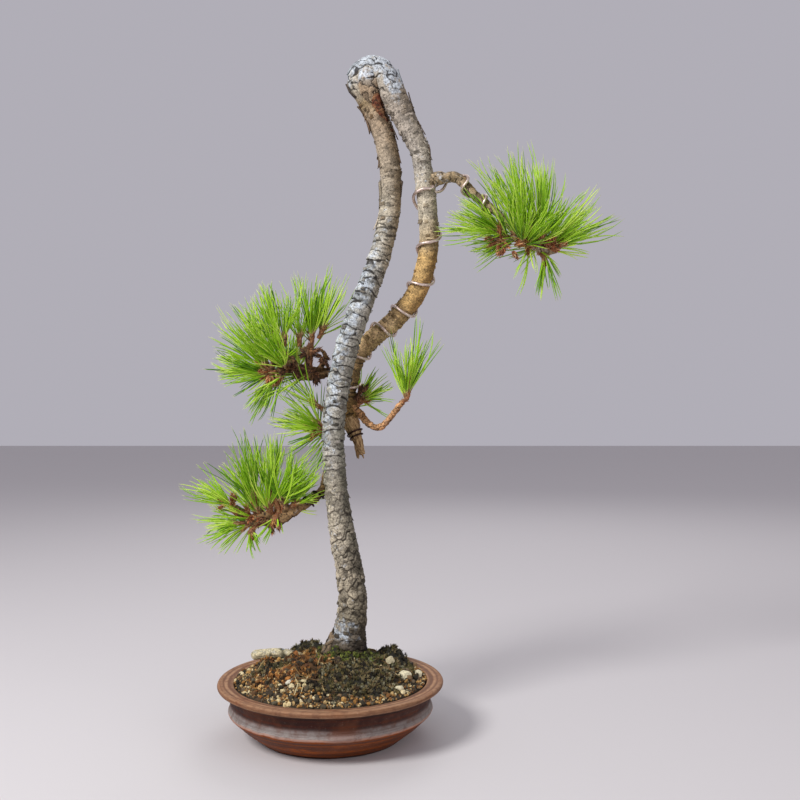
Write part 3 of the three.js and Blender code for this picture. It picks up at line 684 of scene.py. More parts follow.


# ---------------------------------------------------------------- bark and wood

# Station, lit tone, painted-shade tone on the far side, lichen, depth of the plates, their cracks.
TRUNK_BARK = [
    (0, "#3a3024", "#1c1610", 0.0, 1.5, 0.8),
    (2, "#4a3f32", "#1e1812", 0.1, 1.5, 0.8),
    (3, "#857b6c", "#4a4134", 1.0, 1.3, 0.6),
    (4, "#a0957f", "#665d4c", 0.4, 1.3, 0.7),
    (6, "#b0a48f", "#665f50", 0.3, 1.2, 0.75),
    (8, "#b0a795", "#6a6556", 0.4, 1.05, 0.75),
    (8.5, "#aaa498", "#737062", 0.6, 0.9, 0.8),
    (10, "#a8a499", "#8b877c", 0.8, 0.9, 0.95),
    (11, "#a6a49c", "#938c80", 0.82, 0.85, 1.0),
    (13, "#a6a8a4", "#948b7c", 0.82, 0.85, 1.0),
    (14, "#aca698", "#8c7e68", 0.6, 0.75, 0.9),
    (15, "#b0a692", "#806e56", 0.35, 0.55, 0.6),
    (16, "#9a8d7a", "#6f5f48", 0.15, 0.5, 0.25),
    (18, "#93806a", "#775f42", 0.12, 0.5, 0.25),
    (19, "#95805f", "#72593d", 0.25, 0.65, 0.6),
    (21, "#aba394", "#8f7a60", 0.95, 0.9, 0.95),
    (23, "#b2aca0", "#96866e", 1.25, 0.9, 1.0),
    (25, "#a39a8c", "#8f7f6a", 1.1, 0.8, 0.9),
    (27, "#a4988a", "#8a7d6c", 0.5, 0.65, 0.5),
    (31, "#b1a99c", "#918979", 0.45, 0.55, 0.4),
    (33, "#c4b9a2", "#a0927a", 0.3, 0.42, 0.2),
    (34, "#c3ae8a", "#9c8258", 0.1, 0.42, 0.2),
    (35, "#bd9c66", "#957240", 0.0, 0.42, 0.25),
    (37.5, "#b89660", "#906e40", 0.0, 0.42, 0.3),
    (39, "#d2b488", "#a2865a", 0.1, 0.45, 0.35),
    (41, "#c8a87c", "#94784e", 0.15, 0.6, 0.45),
    (42, "#ae9068", "#7c6242", 0.1, 0.85, 0.7),
    (43, "#a0845c", "#745c38", 0.1, 1.1, 0.8),
    (45, "#94743f", "#6c522c", 0.0, 1.2, 0.8),
]
TRUNK_BARK = [(row[0], linear(row[1]), linear(row[2]), *row[3:]) for row in TRUNK_BARK]
LAST_RISING = len(RISING_TRUNK) - 1
FOLD_TOP = LAST_RISING + 5
FLAKY_ENDS = (7.2, 8.8)  # between these stations the foot's small flakes give way to broad plates
FOLD_START, FOLD_END = LAST_RISING + 1.2, LAST_RISING + 8.5
FIRST_FALLING = len(RISING_TRUNK) + len(FOLD)
CROTCH_RED = linear("#5c3020")
CROTCH_WEB = [
    (33, -4.5, 514, 3.2), (35.5, -3, 507, 4.6), (38.5, -1, 499, 4.2), (42, 1, 491, 3), (49, 2.5, 478, 1.5),
]
FOLD_INSIDE = [
    (29.5, -2, 532, 4.5), (30, -4, 525, 8), (31, -3.6, 517, 8.9), (32, -1, 510, 7.4), (34, 2, 502, 4),
]


def plates(spot, wide, long, upright=0.15, gape=0.17):
    """How far a spot is into the crack round its bark plate, the plate's own number from
    -1 to 1, and how far the spot is up or down its plate. Cracks run round the limb, and
    upright is how strong the ones along it are, from 0 to 1. gape is how wide they part."""
    bent = Vector((spot.x / wide, spot.y / wide, spot.z / long))
    bent += 0.3 * noise.noise_vector(bent * 1.3)
    distances, centres = noise.voronoi(bent)
    between = centres[1] - centres[0]
    around = smooth_step(0.3, 0.8, abs(between.z) / max(between.length, 1e-6))
    crack = (1 - smooth_step(0.04, gape, distances[1] - distances[0])) * (upright + (1 - upright) * around)
    own = noise.noise(centres[0] * 5.3 + Vector((3.1, 1.7, 0.4)))
    return crack, max(-1.0, min(1.0, 2.4 * own)), bent.z - centres[0].z


def fold_plates(spot):
    """The broad plates over the fold, laid out in space because the limb bends so sharply there."""
    torn = spot + 3.5 * noise.noise_vector(spot * 0.16)
    return plates(Vector((torn.x * 0.7, torn.y, torn.z * 1.5 + 0.5 * torn.x)), 12, 12, 0.9, 0.085)


def trunk_skin(spot, out, station, centre):
    """The bark of the trunk: overlapping plates that part in dark cracks, with finer grain."""
    lit, far, lichen, depth, cracks = from_stations(TRUNK_BARK, station)
    crack, own, down = plates(spot, 13.5, 7.4)
    flaky = 1 - smooth_step(*FLAKY_ENDS, station)
    if flaky > 0:
        crack, own, down = blend((crack, own, down), plates(spot, 6.5, 9, 0.8, 0.14), flaky)
    folded = smooth_step(FOLD_START - 1, FOLD_START, station)
    folded *= 1 - smooth_step(FOLD_END - 1, FOLD_END, station)
    if folded > 0:
        reach = math.hypot(spot.x, spot.y)
        crack, own, down = blend((crack, own, down), fold_plates(centre + out * reach), folded)
        own *= 1 - 0.55 * folded
    small_crack, small, _ = plates(spot + Vector((40, 9, 7)), 4.6, 3.2)
    small_crack *= 1 - 0.8 * folded
    small *= 1 - 0.7 * folded
    grain = noise.fractal(spot * 0.55, FADE, FINER, 4)
    lift = depth * (
        cracks * (0.42 * own - 0.85 * down - 0.75 * crack) - 0.3 * small_crack + 0.32 * small + 0.34 * grain
    )
    # Painted shade: the side away from the key light (+x) takes the darker far tone, and less pale lichen.
    side = smooth_step(-0.35, 0.95, out.x + 0.3 * noise.noise(spot * 0.12))
    tone = blend(lit, far, side)
    lichen *= 1 - 0.8 * side * (1 - folded)
    if LAST_RISING < station < FIRST_FALLING - 2:
        lichen *= smooth_step(-0.5, 0.1, out.z + 0.25 * noise.noise(spot * 0.2))
        tone = blend(tone, CROTCH_RED, 0.6 * smooth_step(0.45, 0.95, -out.z))
    return lift, tone, (max(cracks * crack, 0.5 * small_crack), 0.5 * own + 0.5 * small, lichen)


def crotch_skin(spot, out, station, centre):
    """The red-brown inner bark where the two limbs of the fold press together."""
    crack, own, down = plates(spot, 4, 6)
    grain = noise.fractal(spot * 0.5, FADE, FINER, 4)
    aged = smooth_step(-0.1, 0.5, noise.noise(spot * 0.25) + 0.1 * station)
    tone = blend(CROTCH_RED, linear("#7c583c"), aged)
    return 0.9 * (0.4 * own - 0.6 * down - 0.7 * crack + 0.6 * grain), tone, (crack, own, 0.1)


def fold_inside_skin(spot, out, station, centre):
    """The bark pushed together on the inside of the fold: pale above, tan below."""
    crack, own, down = fold_plates(centre + out * math.hypot(spot.x, spot.y))
    grain = noise.fractal(spot * 0.6, FADE, FINER, 4)
    tone = blend(linear("#a8a094"), linear("#98846c"), smooth_step(0.8, 2.4, station + 0.5 * own))
    lichen = 1.2 * (1 - smooth_step(1.0, 2.3, station))
    return 0.9 * (0.4 * own - 0.5 * down - 0.7 * crack + 0.5 * grain), tone, (crack, 0.5 * own, lichen)


def build_trunk():
    """The trunk from its foot to the fold, and on down to the burl, along one route."""
    route = Route([*RISING_TRUNK, *FOLD, *FALLING_LIMB])
    top = next(length for length, place in zip(route.lengths, route.places) if place >= FOLD_TOP)
    piece = Piece("rising_trunk_bark")
    piece.tube(route, TRUNK_SIDES, BARK_GAP, trunk_skin, end=top)
    piece.finished([BARK], ["trunk"])
    piece = Piece("falling_limb_bark")
    piece.tube(route, LIMB_SIDES, BARK_GAP, trunk_skin, start=top)
    piece.tube(Route(FOLD_INSIDE), 72, 0.6, fold_inside_skin)
    piece.tube(Route(CROTCH_WEB), 32, 0.8, crotch_skin)
    return piece.finished([BARK], ["trunk"])


def branch_skin(lit, far, lichen, depth, wide=4.2, long=5.2):
    """A bark skin for thinner wood: scales as of a cone, in a tone of its own."""
    lit, far = linear(lit), linear(far)

    def skin(spot, out, station, centre):
        crack, own, down = plates(spot, wide, long)
        grain = noise.fractal(spot * 0.7, FADE, FINER, 3)
        lift = depth * (0.5 * own + 0.7 * down - 0.8 * crack + 0.35 * grain)
        # Painted shade: the far side (+x) and the underside are painted in the darker far tone.
        side = 0.5 + 0.5 * out.x
        tone = blend(blend(lit, far, side), far, 0.35 * smooth_step(0, 1, -out.z))
        cover = lichen(station) if callable(lichen) else lichen
        return lift, tone, (crack, own, cover)

    return skin


# Old twigs that arch off the branches, without needles of their own.
GNARLED_TWIGS = {
    "branch_upper_left": [
        [
            (-48, 2, 287, 2.4), (-47, 0, 295, 2.2), (-43.5, -1, 303, 2), (-38.5, 0, 312, 1.8),
            (-36, 1, 318, 1.5),
        ],
        [
            (-43.5, -1, 302, 1.8), (-36, -4, 303, 1.8), (-29, -4, 297, 1.8), (-25, -1, 288, 2.2),
            (-24, 4, 286, 1.6),
        ],
        [(-24, 6, 289, 2.2), (-20, 2, 296, 2.0), (-19, 0, 303, 1.9), (-22, -2, 308, 1.2)],
        [(-12, 10, 289, 2.4), (-8, 6, 295, 2.1), (-5, 4, 301, 1.8), (-8, 2, 306, 1.2)],
        [(-30, 6, 288, 3.2), (-20, 4, 285, 3.4), (-10, 8, 286, 3.2), (0, 12, 289, 2.6)],
    ],
    "branch_lower_left": [
        [(-20, 5, 183, 3.0), (-31, -1, 175, 3.2), (-42, -3, 168, 3.2), (-50, -3, 165, 2.2)],
        [
            (-47, 0, 170, 2.4), (-52, -3, 174, 2.2), (-60, -4, 172, 2.1), (-68, -3, 176, 1.8),
            (-76, -2, 181, 1.4),
        ],
        [(-38, 0, 175, 2.4), (-36, -4, 182, 2.1), (-41, -5, 188, 1.6)],
    ],
    "branch_upper_right": [
        [(150, -5, 397, 2.6), (144, -8, 393, 2.4), (137, -9, 391, 2.2), (130, -8, 394, 1.6)],
        [(160, -5, 389, 3.0), (168, -8, 385, 2.8), (176, -7, 384, 2.4), (183, -5, 388, 1.4)],
    ],
}


def lichen_near_limb(station):
    """Lichen on the first stretch of a branch, which thins out along it."""
    return 0.5 * (1 - smooth_step(2, 5, station))


def build_branches():
    """The four branches, each in its own bark."""
    # Each bark's lit tone, its darker far tone as painted shade, its lichen, depth, and for one its plate
    # size.
    skins = {
        "branch_upper_right": branch_skin("#a8977c", "#7d6440", lichen_near_limb, 0.6),
        "branch_upper_left": branch_skin("#8a6c48", "#5c4228", 0.2, 1.0),
        "branch_lower_left": branch_skin("#9a7c56", "#664c30", 0.3, 1.0),
        "branch_lower_right": branch_skin("#c89a6c", "#9a6a44", 0.15, 0.6, 2.8, 3.4),
    }
    for name, stations in BRANCHES.items():
        piece = Piece(name + "_bark")
        piece.tube(Route(stations), 32, 0.8, skins[name])
        for twig in GNARLED_TWIGS.get(name, []):
            piece.tube(Route(twig), 14, 1.0, skins[name])
        piece.finished([BARK], [name])


def tapering(start, reach, taper):
    """A straight route from a start, with its radius at each share of its reach."""
    return Route([(*(start + reach * share), radius) for share, radius in taper])


def build_stub():
    """The torn stub below the burl: bare wood in long splinters."""
    piece = Piece("bare_stub")
    rng = random.Random("stub")
    tone = linear("#c0a070")

    def splintered(spot, out, station, centre):
        fibre = noise.fractal(Vector((spot.x * 0.9, spot.y * 0.9, spot.z * 0.08)), 0.8, 2.2, 4)
        return 0.9 * fibre, tone, (0, 0, 0)

    piece.tube(Route([FALLING_LIMB[-1], *DEADWOOD_STUB]), 36, 0.7, splintered)
    end = Vector(DEADWOOD_STUB[-2][:3])
    for _ in range(9):
        way = Vector((rng.uniform(-0.1, 0.75), rng.uniform(-0.5, 0.2), -1)).normalized()
        start = end + Vector((rng.uniform(-3, 2.4), rng.uniform(-2.4, 2.4), rng.uniform(3, 8)))
        reach = rng.uniform(9, 17)
        taper = ((0, 1.5), (0.45, 1.2), (0.8, 0.7), (1, 0.15))
        piece.tube(tapering(start, way * reach, taper), 8, 1.6, splintered)
    return piece.finished([BARE_WOOD])


WEATHERED = linear("#33291f")
SMALL_FLAKES = 420


def bark_flakes():
    """Thin curled flakes that have lifted off the bark, some darker than the bark they leave."""
    piece = Piece("lifted_bark_flakes")
    rng = random.Random("flakes")
    route = Route([*RISING_TRUNK, *FOLD, *FALLING_LIMB])
    strips = [  # station, side it faces, length, width, lift, tone
        (17.9, (-1, -0.25, 0), 17, 3.4, 1.6, "#66523f"),
        (18.7, (-1, -0.1, 0), 12, 3.0, 1.8, "#6f5c48"),
        (16.3, (-1, -0.3, 0), 8, 2.6, 1.5, "#66523f"),
        (15.5, (-1, -0.35, 0), 19, 3.2, 1.5, "#b3a68e"),
        (15.4, (-1, -0.1, 0), 21, 3.0, 1.3, "#6b5a47"),
        (14.6, (-1, -0.3, 0), 12, 3.0, 1.8, "#a89c88"),
        (17.2, (1, -0.3, 0), 15, 2.6, 1.4, "#5c4a39"),
        (16.4, (1, -0.4, 0), 9, 2.4, 1.2, "#665340"),
        (15.6, (1, -0.3, 0), 12, 2.6, 1.2, "#4a3c2e"),
        (27.0, (1, -0.3, 0.2), 17, 2.8, 1.5, "#614f3d"),
        (28.6, (1, -0.3, 0.1), 12, 2.4, 1.3, "#675543"),
        (30.2, (1, -0.4, 0), 10, 2.4, 1.2, "#5f4f40"),
        (25.0, (0.9, -0.4, 0.6), 9, 3.6, 1.6, "#8e9498"),
        (22.0, (-0.9, -0.5, 0.4), 8, 3.4, 1.5, "#8d9296"),
        (20.6, (-1, -0.4, 0.1), 8, 3.0, 1.6, "#5a4e44"),
    ]
    for station, facing, long, wide, curl, colour in strips:
        add_flake(piece, route, station, Vector(facing), long, wide, curl, linear(colour), rng)
    for _ in range(SMALL_FLAKES):
        station = rng.uniform(1.6, 41)
        if FOLD_START < station < FOLD_END:
            continue
        # Each small flake mixes the lit tone with the far tone, the painted shade, at random.
        lit, far, _, _, cracks = from_stations(TRUNK_BARK, station)
        tone = blend(lit, far, rng.random())
        tone = blend(tone, WEATHERED, rng.uniform(0.05, 0.15 + 0.55 * cracks))
        facing = any_way(rng)
        long, wide = rng.uniform(1.4, 3.4), rng.uniform(2.4, 6)
        add_flake(piece, route, station, facing, long, wide, rng.uniform(0.3, 1.0), tone, rng)
    return piece.finished([BARK])


def add_flake(piece, route, station, facing, long, wide, curl, tone, rng):
    """One flake, held by one end and the other lifted by its curl."""
    length = next(length for length, place in zip(route.lengths, route.places) if place >= station)
    open_end, seed = rng.choice((-1, 1)), rng.uniform(0, 99)
    facing = facing.normalized()

    def place(p):
        centre, radius, tangent, _, _ = route.at(length + p.y * long)
        out = (facing - tangent * facing.dot(tangent)).normalized()
        share = 0.5 + p.y * open_end
        ragged = 1 + 0.7 * noise.noise(Vector((seed, p.y * 2.6, (p.x > 0) * 9)))
        reach = radius + 0.15 + curl * share ** 1.6 + 0.4 * p.z - 0.22 * wide * p.x ** 2
        return centre + out * reach + tangent.cross(out) * (p.x * wide * ragged)

    piece.copy_in(FLAKE, place, tone, (0.1, rng.uniform(-1, 1), 0.1))


MOSS_DARK = linear("#2a2518")


def build_roots():
    """The flare of the foot, and the root that lies bare on the soil, pale at its cut end."""
    brown, pale, moss = linear("#75644f"), linear("#cbbf9c"), linear("#57543e")

    def flare(spot, out, station, centre):
        crack, own, down = plates(spot, 4.5, 11, 1)
        lift = 0.9 * (0.4 * own + 0.5 * down - crack) + 0.6 * noise.fractal(spot * 0.5, FADE, FINER, 3)
        return lift, blend(MOSS_DARK, brown, smooth_step(52, 66, centre.z)), (crack, own, 0.3)

    def bare(spot, out, station, centre):
        grain = noise.fractal(Vector((spot.x * 0.5, spot.y * 0.5, spot.z * 0.16)), FADE, FINER, 4)
        cover = smooth_step(0.0, 0.5, noise.noise(spot * 0.22) + 1.5 - 0.5 * station + 0.5 * max(0, -out.z))
        return 0.5 * grain, blend(pale, moss, cover), (0, grain, 0.4)

    piece = Piece("root_flare")
    for stations in FLARE_ROOTS:
        piece.tube(Route(stations), 28, 1.2, flare)
    piece.finished([BARK])
    piece = Piece("bare_surface_root")
    end = Vector(SURFACE_ROOT[-1][:3])
    rounded = [(*(end + Vector((-2.4, -0.6, -0.2))), 3.1), (*(end + Vector((-3.6, -0.9, -0.4))), 1.2)]
    piece.tube(Route([*SURFACE_ROOT, *rounded]), 32, 0.9, bare)
    return piece.finished([BARK])


# ---------------------------------------------------------------- shoots

def leaf_frame(way, rng):
    """Two directions across a way, turned at random about it."""
    side, other = square_to(way)
    angle = rng.uniform(0, 2 * math.pi)
    return side * math.cos(angle) + other * math.sin(angle), other * math.cos(angle) - side * math.sin(angle)


NEEDLE_HALF_WIDTH = (0.4, 0.55)


def add_needle(piece, root, way, reach, bow, rng, tint):
    """One needle: it leaves a little wide of its way, bows back to it, and ends on it."""
    side, other = leaf_frame(way, rng)
    width = rng.uniform(*NEEDLE_HALF_WIDTH)

    def place(p):
        along = p.z
        centre = root + way * reach * along + bow * reach * along * (1 - along)
        return centre + side * (p.x * width) + other * (p.y * width * 0.8)

    piece.copy_in(NEEDLE, place, marks=lambda p: (p.z, tint, 0), material=0)


def add_scale(piece, root, way, out, long, wide, tone):
    """One bud scale that lies along a shoot and lifts at its point."""
    tilted = (way + out * 0.38).normalized()
    across = tilted.cross(out).normalized()
    face = across.cross(tilted)

    def place(p):
        return root + tilted * (p.z * long) + across * (p.x * wide) + face * (p.y * wide * 0.8 + 0.25 * p.z)

    piece.copy_in(SCALE_LEAF, place, tone, (0, 0, 0), material=1)


def scales_along(piece, route, start, end, rows, long, tones, rng, extra=0.0):
    """Scales in a spiral along a stretch of a route."""
    for i in range(rows):
        distance = start + (end - start) * (i + 0.5) / rows
        centre, radius, tangent, side, _ = route.at(distance)
        across = tangent.cross(side)
        angle = i * GOLDEN_ANGLE + rng.uniform(-0.3, 0.3)
        out = side * math.cos(angle) + across * math.sin(angle)
        size = long * rng.uniform(0.75, 1.2)
        add_scale(piece, centre + out * (radius * 0.75 + extra), tangent, out, size, size * 0.55,
                  linear(rng.choice(tones)))


OLD_SCALES = ["#a8643c", "#c07e50", "#8f5030", "#d09c6c", "#94603c", "#b09468"]
CANDLE_SCALES = ["#b8803f", "#a8682f", "#c99a58", "#8f5428"]
GREEN_BUDS = ["#b8803f", "#a8944e", "#8f8a52", "#c99a58"]
PAIRS_PER_SHOOT = 42
SPARSE_SHOOTS = {  # the shoots with fewer pairs
    "shoot_upper_right_e": 15, "shoot_lower_left_f": 14, "shoot_upper_left_e": 24, "shoot_behind_trunk": 26,
    "shoot_lower_left_a": 26, "shoot_lower_left_b": 28, "shoot_middle_left": 36,
}
STRAY_NEEDLES = 0.32  # how many pairs, as a share, stray out of the fan
USUAL_REACH, REACH_SPREAD = 0.68, 0.14  # a usual needle's share of its shoot's reach, and how it varies
SIDE_SHARE = 0.62  # how much of its full pairs a side shoot has
LONG_NEEDLES = 0.14  # how many needles, as a share, are as long as their shoot allows


def shoot_skin(spot, out, station, centre):
    """The thin shoot below its needles: golden brown, ringed with scale scars."""
    crack, own, down = plates(spot, 2.2, 2.6)
    tone = blend(linear("#a8784a"), linear("#7c4f30"), 0.5 + 0.5 * own)
    return 0.3 * (own + down - crack), tone, (crack, own, 0)


def grow_shoot(name, shoot):
    """A shoot from its branch to its candle, dressed in scales, with its needles in pairs."""
    start, knee, tip, fan, bud = shoot
    rng = random.Random(name)
    start, knee, tip = Vector(start), Vector(knee), Vector(tip)
    way = (tip - knee).normalized()
    piece = Piece(name + "_leaves")
    candle = bud if bud > 12 else bud + 3
    spots = [start, start.lerp(knee, 0.55), knee - way]
    spots += [knee + way * candle * share for share in (0.45, 0.8, 1)]
    route = Route([(*spot, radius) for spot, radius in zip(spots, (1.7, 1.8, 2.0, 1.7, 1.3, 0.4))])
    piece.tube(route, 12, 1.0, shoot_skin, material=1)
    stem_end = route.length - candle
    on_stem, on_candle = round(5 + 1.5 * stem_end), round(14 + 2.4 * candle)
    scales_along(piece, route, 0, stem_end + 3, on_stem, 3.0, OLD_SCALES, rng)
    scales_along(piece, route, stem_end + 2, route.length - 0.6, on_candle, 2.9, CANDLE_SCALES, rng)
    pairs = SPARSE_SHOOTS.get(name, PAIRS_PER_SHOOT)
    dress(piece, rng, knee, tip, fan, pairs, min(bud, 9) * 0.9, min(stem_end * 0.5, 9))
    return piece.finished([NEEDLE_LEAF, SCALY_TWIG], [name])


def dress(piece, rng, knee, tip, fan, pairs, rise, fall):
    """Needles in pairs round the end of a shoot, from a little below its knee to a little above."""
    reach, way = (tip - knee).length, (tip - knee).normalized()
    side, other = square_to(way)
    for i in range(pairs):
        share = (((i + 0.5) * GOLDEN_SHARE) % 1 + 0.02) / 1.02
        stray = rng.uniform(1.15, 1.9) if rng.random() < STRAY_NEEDLES else rng.uniform(0.6, 1.15)
        lean = math.radians(fan) * math.sqrt(share) * stray + rng.gauss(0, 0.08)
        turn = i * GOLDEN_ANGLE + rng.uniform(-0.5, 0.5)
        out = side * math.cos(turn) + other * math.sin(turn)
        ends = (way * math.cos(lean) + out * math.sin(lean)).normalized()
        root = knee + way * (rise * (1 - share) - fall * rng.random() * share) + out * 1.2
        usual = rng.random() >= LONG_NEEDLES
        share_of_reach = rng.gauss(USUAL_REACH, REACH_SPREAD) if usual else rng.uniform(0.86, 1.04)
        long = reach * min(1.04, max(0.36, share_of_reach))
        bow = (out * rng.uniform(-0.14, 0.26) + Vector([rng.uniform(-0.22, 0.22) for _ in range(3)])
               + UP * rng.uniform(-0.02, 0.18) * (1 - abs(way.z)))
        tint = min(1, max(0, rng.gauss(0.5, 0.32)))
        apart = leaf_frame(ends, rng)[0] * rng.uniform(0.03, 0.1)
        for half in (-1, 1):
            add_needle(piece, root, (ends + apart * half).normalized(), long * rng.uniform(0.95, 1.03), bow,
                       rng, min(1, max(0, tint + rng.uniform(-0.1, 0.1))))
        add_sheath(piece, root, (ends + bow).normalized(), rng)


def add_sheath(piece, root, way, rng):
    """The sleeve round the foot of one pair of needles."""
    across, over = square_to(way)
    long = rng.uniform(3, 5.5)
    tone = linear(rng.choice(("#9a7a50", "#7f5a38", "#b59a6a")))

    def place(p):
        return root + way * (p.z * long - 0.6) + across * (p.x * 0.9) + over * (p.y * 0.9)

    piece.copy_in(SHEATH, place, tone, material=1)


# Shorter side shoots that fill each head of needles: where its needles start, where the longest of
# them end, the half angle of its fan, and how many pairs a full one would have.
SIDE_SHOOTS = {
    "side_needles_upper_right": [
        ((138, -6, 396), (100, -16, 430), 30, 28), ((146, -8, 398), (138, -24, 446), 32, 28),
        ((156, -8, 394), (152, -32, 438), 36, 32), ((166, -6, 392), (192, -20, 438), 34, 30),
        ((172, -6, 390), (206, -14, 436), 28, 22), ((158, -4, 388), (150, -14, 350), 34, 12),
        ((170, 0, 388), (186, -8, 344), 20, 6), ((130, -6, 404), (90, -2, 426), 20, 6),
        ((130, -6, 402), (86, -12, 398), 12, 6), ((160, 2, 392), (160, 40, 430), 38, 26),
        ((150, 0, 396), (112, -12, 384), 26, 18), ((176, -4, 388), (212, -20, 404), 30, 22),
    ],
    "side_needles_upper_left": [
        ((-54, 0, 292), (-90, -6, 318), 32, 28), ((-48, 2, 300), (-70, -8, 344), 30, 30),
        ((-38, 2, 316), (-36, -6, 362), 34, 30), ((-26, 6, 316), (-24, 0, 366), 26, 24),
        ((-8, 8, 322), (14, 0, 364), 26, 28), ((-50, -2, 286), (-86, -10, 272), 28, 22),
        ((-40, 0, 284), (-60, -10, 256), 32, 14), ((-30, 14, 290), (-34, 42, 330), 36, 22),
        ((-44, -2, 298), (-56, -30, 326), 36, 22),
    ],
    "side_needles_middle_left": [
        ((-10, 6, 246), (-38, -4, 278), 34, 26), ((-8, 6, 240), (-42, -6, 226), 32, 20),
        ((-12, 4, 262), (-46, -4, 288), 28, 14), ((-20, 4, 286), (-56, -6, 266), 28, 14),
        ((-4, 10, 236), (-22, -8, 206), 30, 14),
    ],
    "side_needles_lower_left": [
        ((-30, 2, 184), (-12, -8, 224), 36, 30), ((-38, -2, 182), (-30, -12, 232), 34, 32),
        ((-50, -2, 180), (-56, -14, 232), 36, 32), ((-60, 0, 178), (-88, -8, 226), 30, 26),
        ((-64, -2, 172), (-108, -8, 182), 30, 22), ((-66, 0, 166), (-98, -8, 144), 32, 18),
        ((-44, -4, 172), (-54, -16, 152), 38, 12), ((-44, 8, 178), (-30, 42, 210), 38, 24),
        ((-30, -2, 182), (-6, -10, 194), 28, 16),
    ],
    "side_needles_behind_trunk": [
        ((24, 18, 266), (52, 10, 262), 36, 9), ((22, 20, 272), (34, 14, 300), 30, 9),
    ],
}


def grow_side_shoots(name, shoots):
    """The side shoots of one head of needles, each with a small bud among its needles."""
    piece = Piece(name)
    rng = random.Random(name)
    for knee, tip, fan, pairs in shoots:
        knee, tip = Vector(knee), Vector(tip)
        way = (tip - knee).normalized()
        route = tapering(knee, way, ((-7, 1.8), (-2, 2.0), (3, 1.7), (7, 0.4)))
        piece.tube(route, 10, 1.2, shoot_skin, material=1)
        scales_along(piece, route, 0, 9, 16, 3.0, OLD_SCALES, rng)
        scales_along(piece, route, 8, route.length - 0.6, 22, 2.7, CANDLE_SCALES, rng)
        dress(piece, rng, knee, tip, fan, round(SIDE_SHARE * pairs), 5, 6)
    return piece.finished([NEEDLE_LEAF, SCALY_TWIG])


def scale_masses():
    """Old buds in clumps where the branches fork, each a small cone of overlapping scales."""
    dead = ["#4a3020", "#6b4630", "#3a2417", "#7a5236"]
    clumps = [  # centre, size across, count of buds, tones
        ((133, -11, 392), 11, 6, OLD_SCALES),
        ((141, -12, 386), 13, 9, OLD_SCALES),
        ((167, -11, 385), 14, 9, OLD_SCALES),
        ((178, -9, 386), 9, 5, OLD_SCALES),
        ((158, -11, 394), 12, 6, GREEN_BUDS),
        ((-19, -2, 303), 8, 5, dead),
        ((-6, 2, 300), 7, 4, dead),
        ((-14, 2, 290), 14, 7, dead),
        ((-32, -2, 291), 14, 8, dead),
        ((-48, -3, 287), 10, 7, OLD_SCALES),
        ((25, 14, 272), 6, 4, dead),
        ((-78, -4, 183), 9, 7, OLD_SCALES),
        ((-63, -5, 173), 12, 7, OLD_SCALES),
        ((-47, -5, 171), 14, 7, dead + OLD_SCALES),
        ((-12, 5, 243), 8, 6, OLD_SCALES),
    ]
    piece = Piece("old_bud_scales")
    rng = random.Random("masses")
    for centre, size, count, tones in clumps:
        for _ in range(count):
            out = any_way(rng).normalized()
            root = Vector(centre) + Vector((out.x, out.y * 0.7, out.z * 0.6)) * size * 0.42
            way = (out + 0.5 * Vector([rng.uniform(-1, 1) for _ in range(3)]) - 0.3 * UP).normalized()
            long, wide = rng.uniform(4.5, 8), rng.uniform(0.9, 1.6)
            taper = [(t, wide * w) for t, w in ((0, 0.8), (0.4, 1.1), (0.75, 0.8), (1, 0.2))]
            route = tapering(root, way * long, taper)
            piece.tube(route, 8, 2, shoot_skin, material=1)
            scales_along(piece, route, 0, route.length, 22, 3.4, tones, rng, 0.2)
    return piece.finished([NEEDLE_LEAF, SCALY_TWIG])


# ---------------------------------------------------------------- wires

STEPS_PER_TURN = 20


def build_wires():
    """Each wire, wound round its limbs by its table of turns."""
    for name, (stations, windings, wire) in WIRES.items():
        route = Route(stations)
        first, last = windings[0][0], windings[-1][0]
        steps = round((last - first) * STEPS_PER_TURN)
        points = []
        for i in range(steps + 1):
            turns = first + (last - first) * i / steps
            pitch = from_stations(windings, turns + 0.5)[0] - from_stations(windings, turns - 0.5)[0]
            angle = 2 * math.pi * turns
            level = LEVEL_FRONT * pitch * math.sin(angle) / (2 * math.pi)
            distance = from_stations(windings, turns)[0] - level
            centre, radius, tangent, _, _ = route.at(distance)
            front = (FRONT - tangent * FRONT.dot(tangent)).normalized()
            side = tangent.cross(front)
            reach = radius + wire + WIRE_STANDOFF
            around = front * reach * math.cos(angle) + side * reach * math.sin(angle)
            points.append((*(centre + around), wire))
        piece = Piece(name + "_drawn")
        piece.tube(Route(points), 14, 1.1, lambda spot, out, station, centre: (0, (1, 1, 1, 1), (0, 0, 0)))
        dark = name != "training_wire"
        piece.finished([DARK_WIRE if dark else BROWN_WIRE], [name])


# ---------------------------------------------------------------- pot

POT_OUTSIDE = [
    (0, 0), (57, 0), (58, 1), (70, 10.3), (80.7, 20.3), (81.5, 21.5), (80.1, 24.5), (79.1, 29.5),
    (80.3, 35.5), (86, 39), (89.2, 40.2), (90, 41.8), (88.8, 44), (77.5, 43.4),
]
POT_INSIDE = [(76.5, 42.6), (72.6, 29.5), (71, 21.5), (61, 10.5), (52, 6.5), (0, 6.5)]


def eased(profile, gap):
    """A profile with points added so that none are further apart than the gap."""
    points = [Vector((r, 0, z)) for r, z in profile]
    out = [points[0]]
    for a, b in zip(points, points[1:]):
        steps = max(1, math.ceil((b - a).length / gap))
        out += [a.lerp(b, i / steps) for i in range(1, steps + 1)]
    return out


WHEEL_STEPS = 240  # faces round the pot
LINE_DEPTH, RING_DEPTH, LIP_GROOVES = 0.14, 0.05, 0.16  # how deep the thrower's fingers went
HAND_WAVER, PIT_DEPTH = 0.35, 0.12  # how far the walls wander, and how deep the pits are


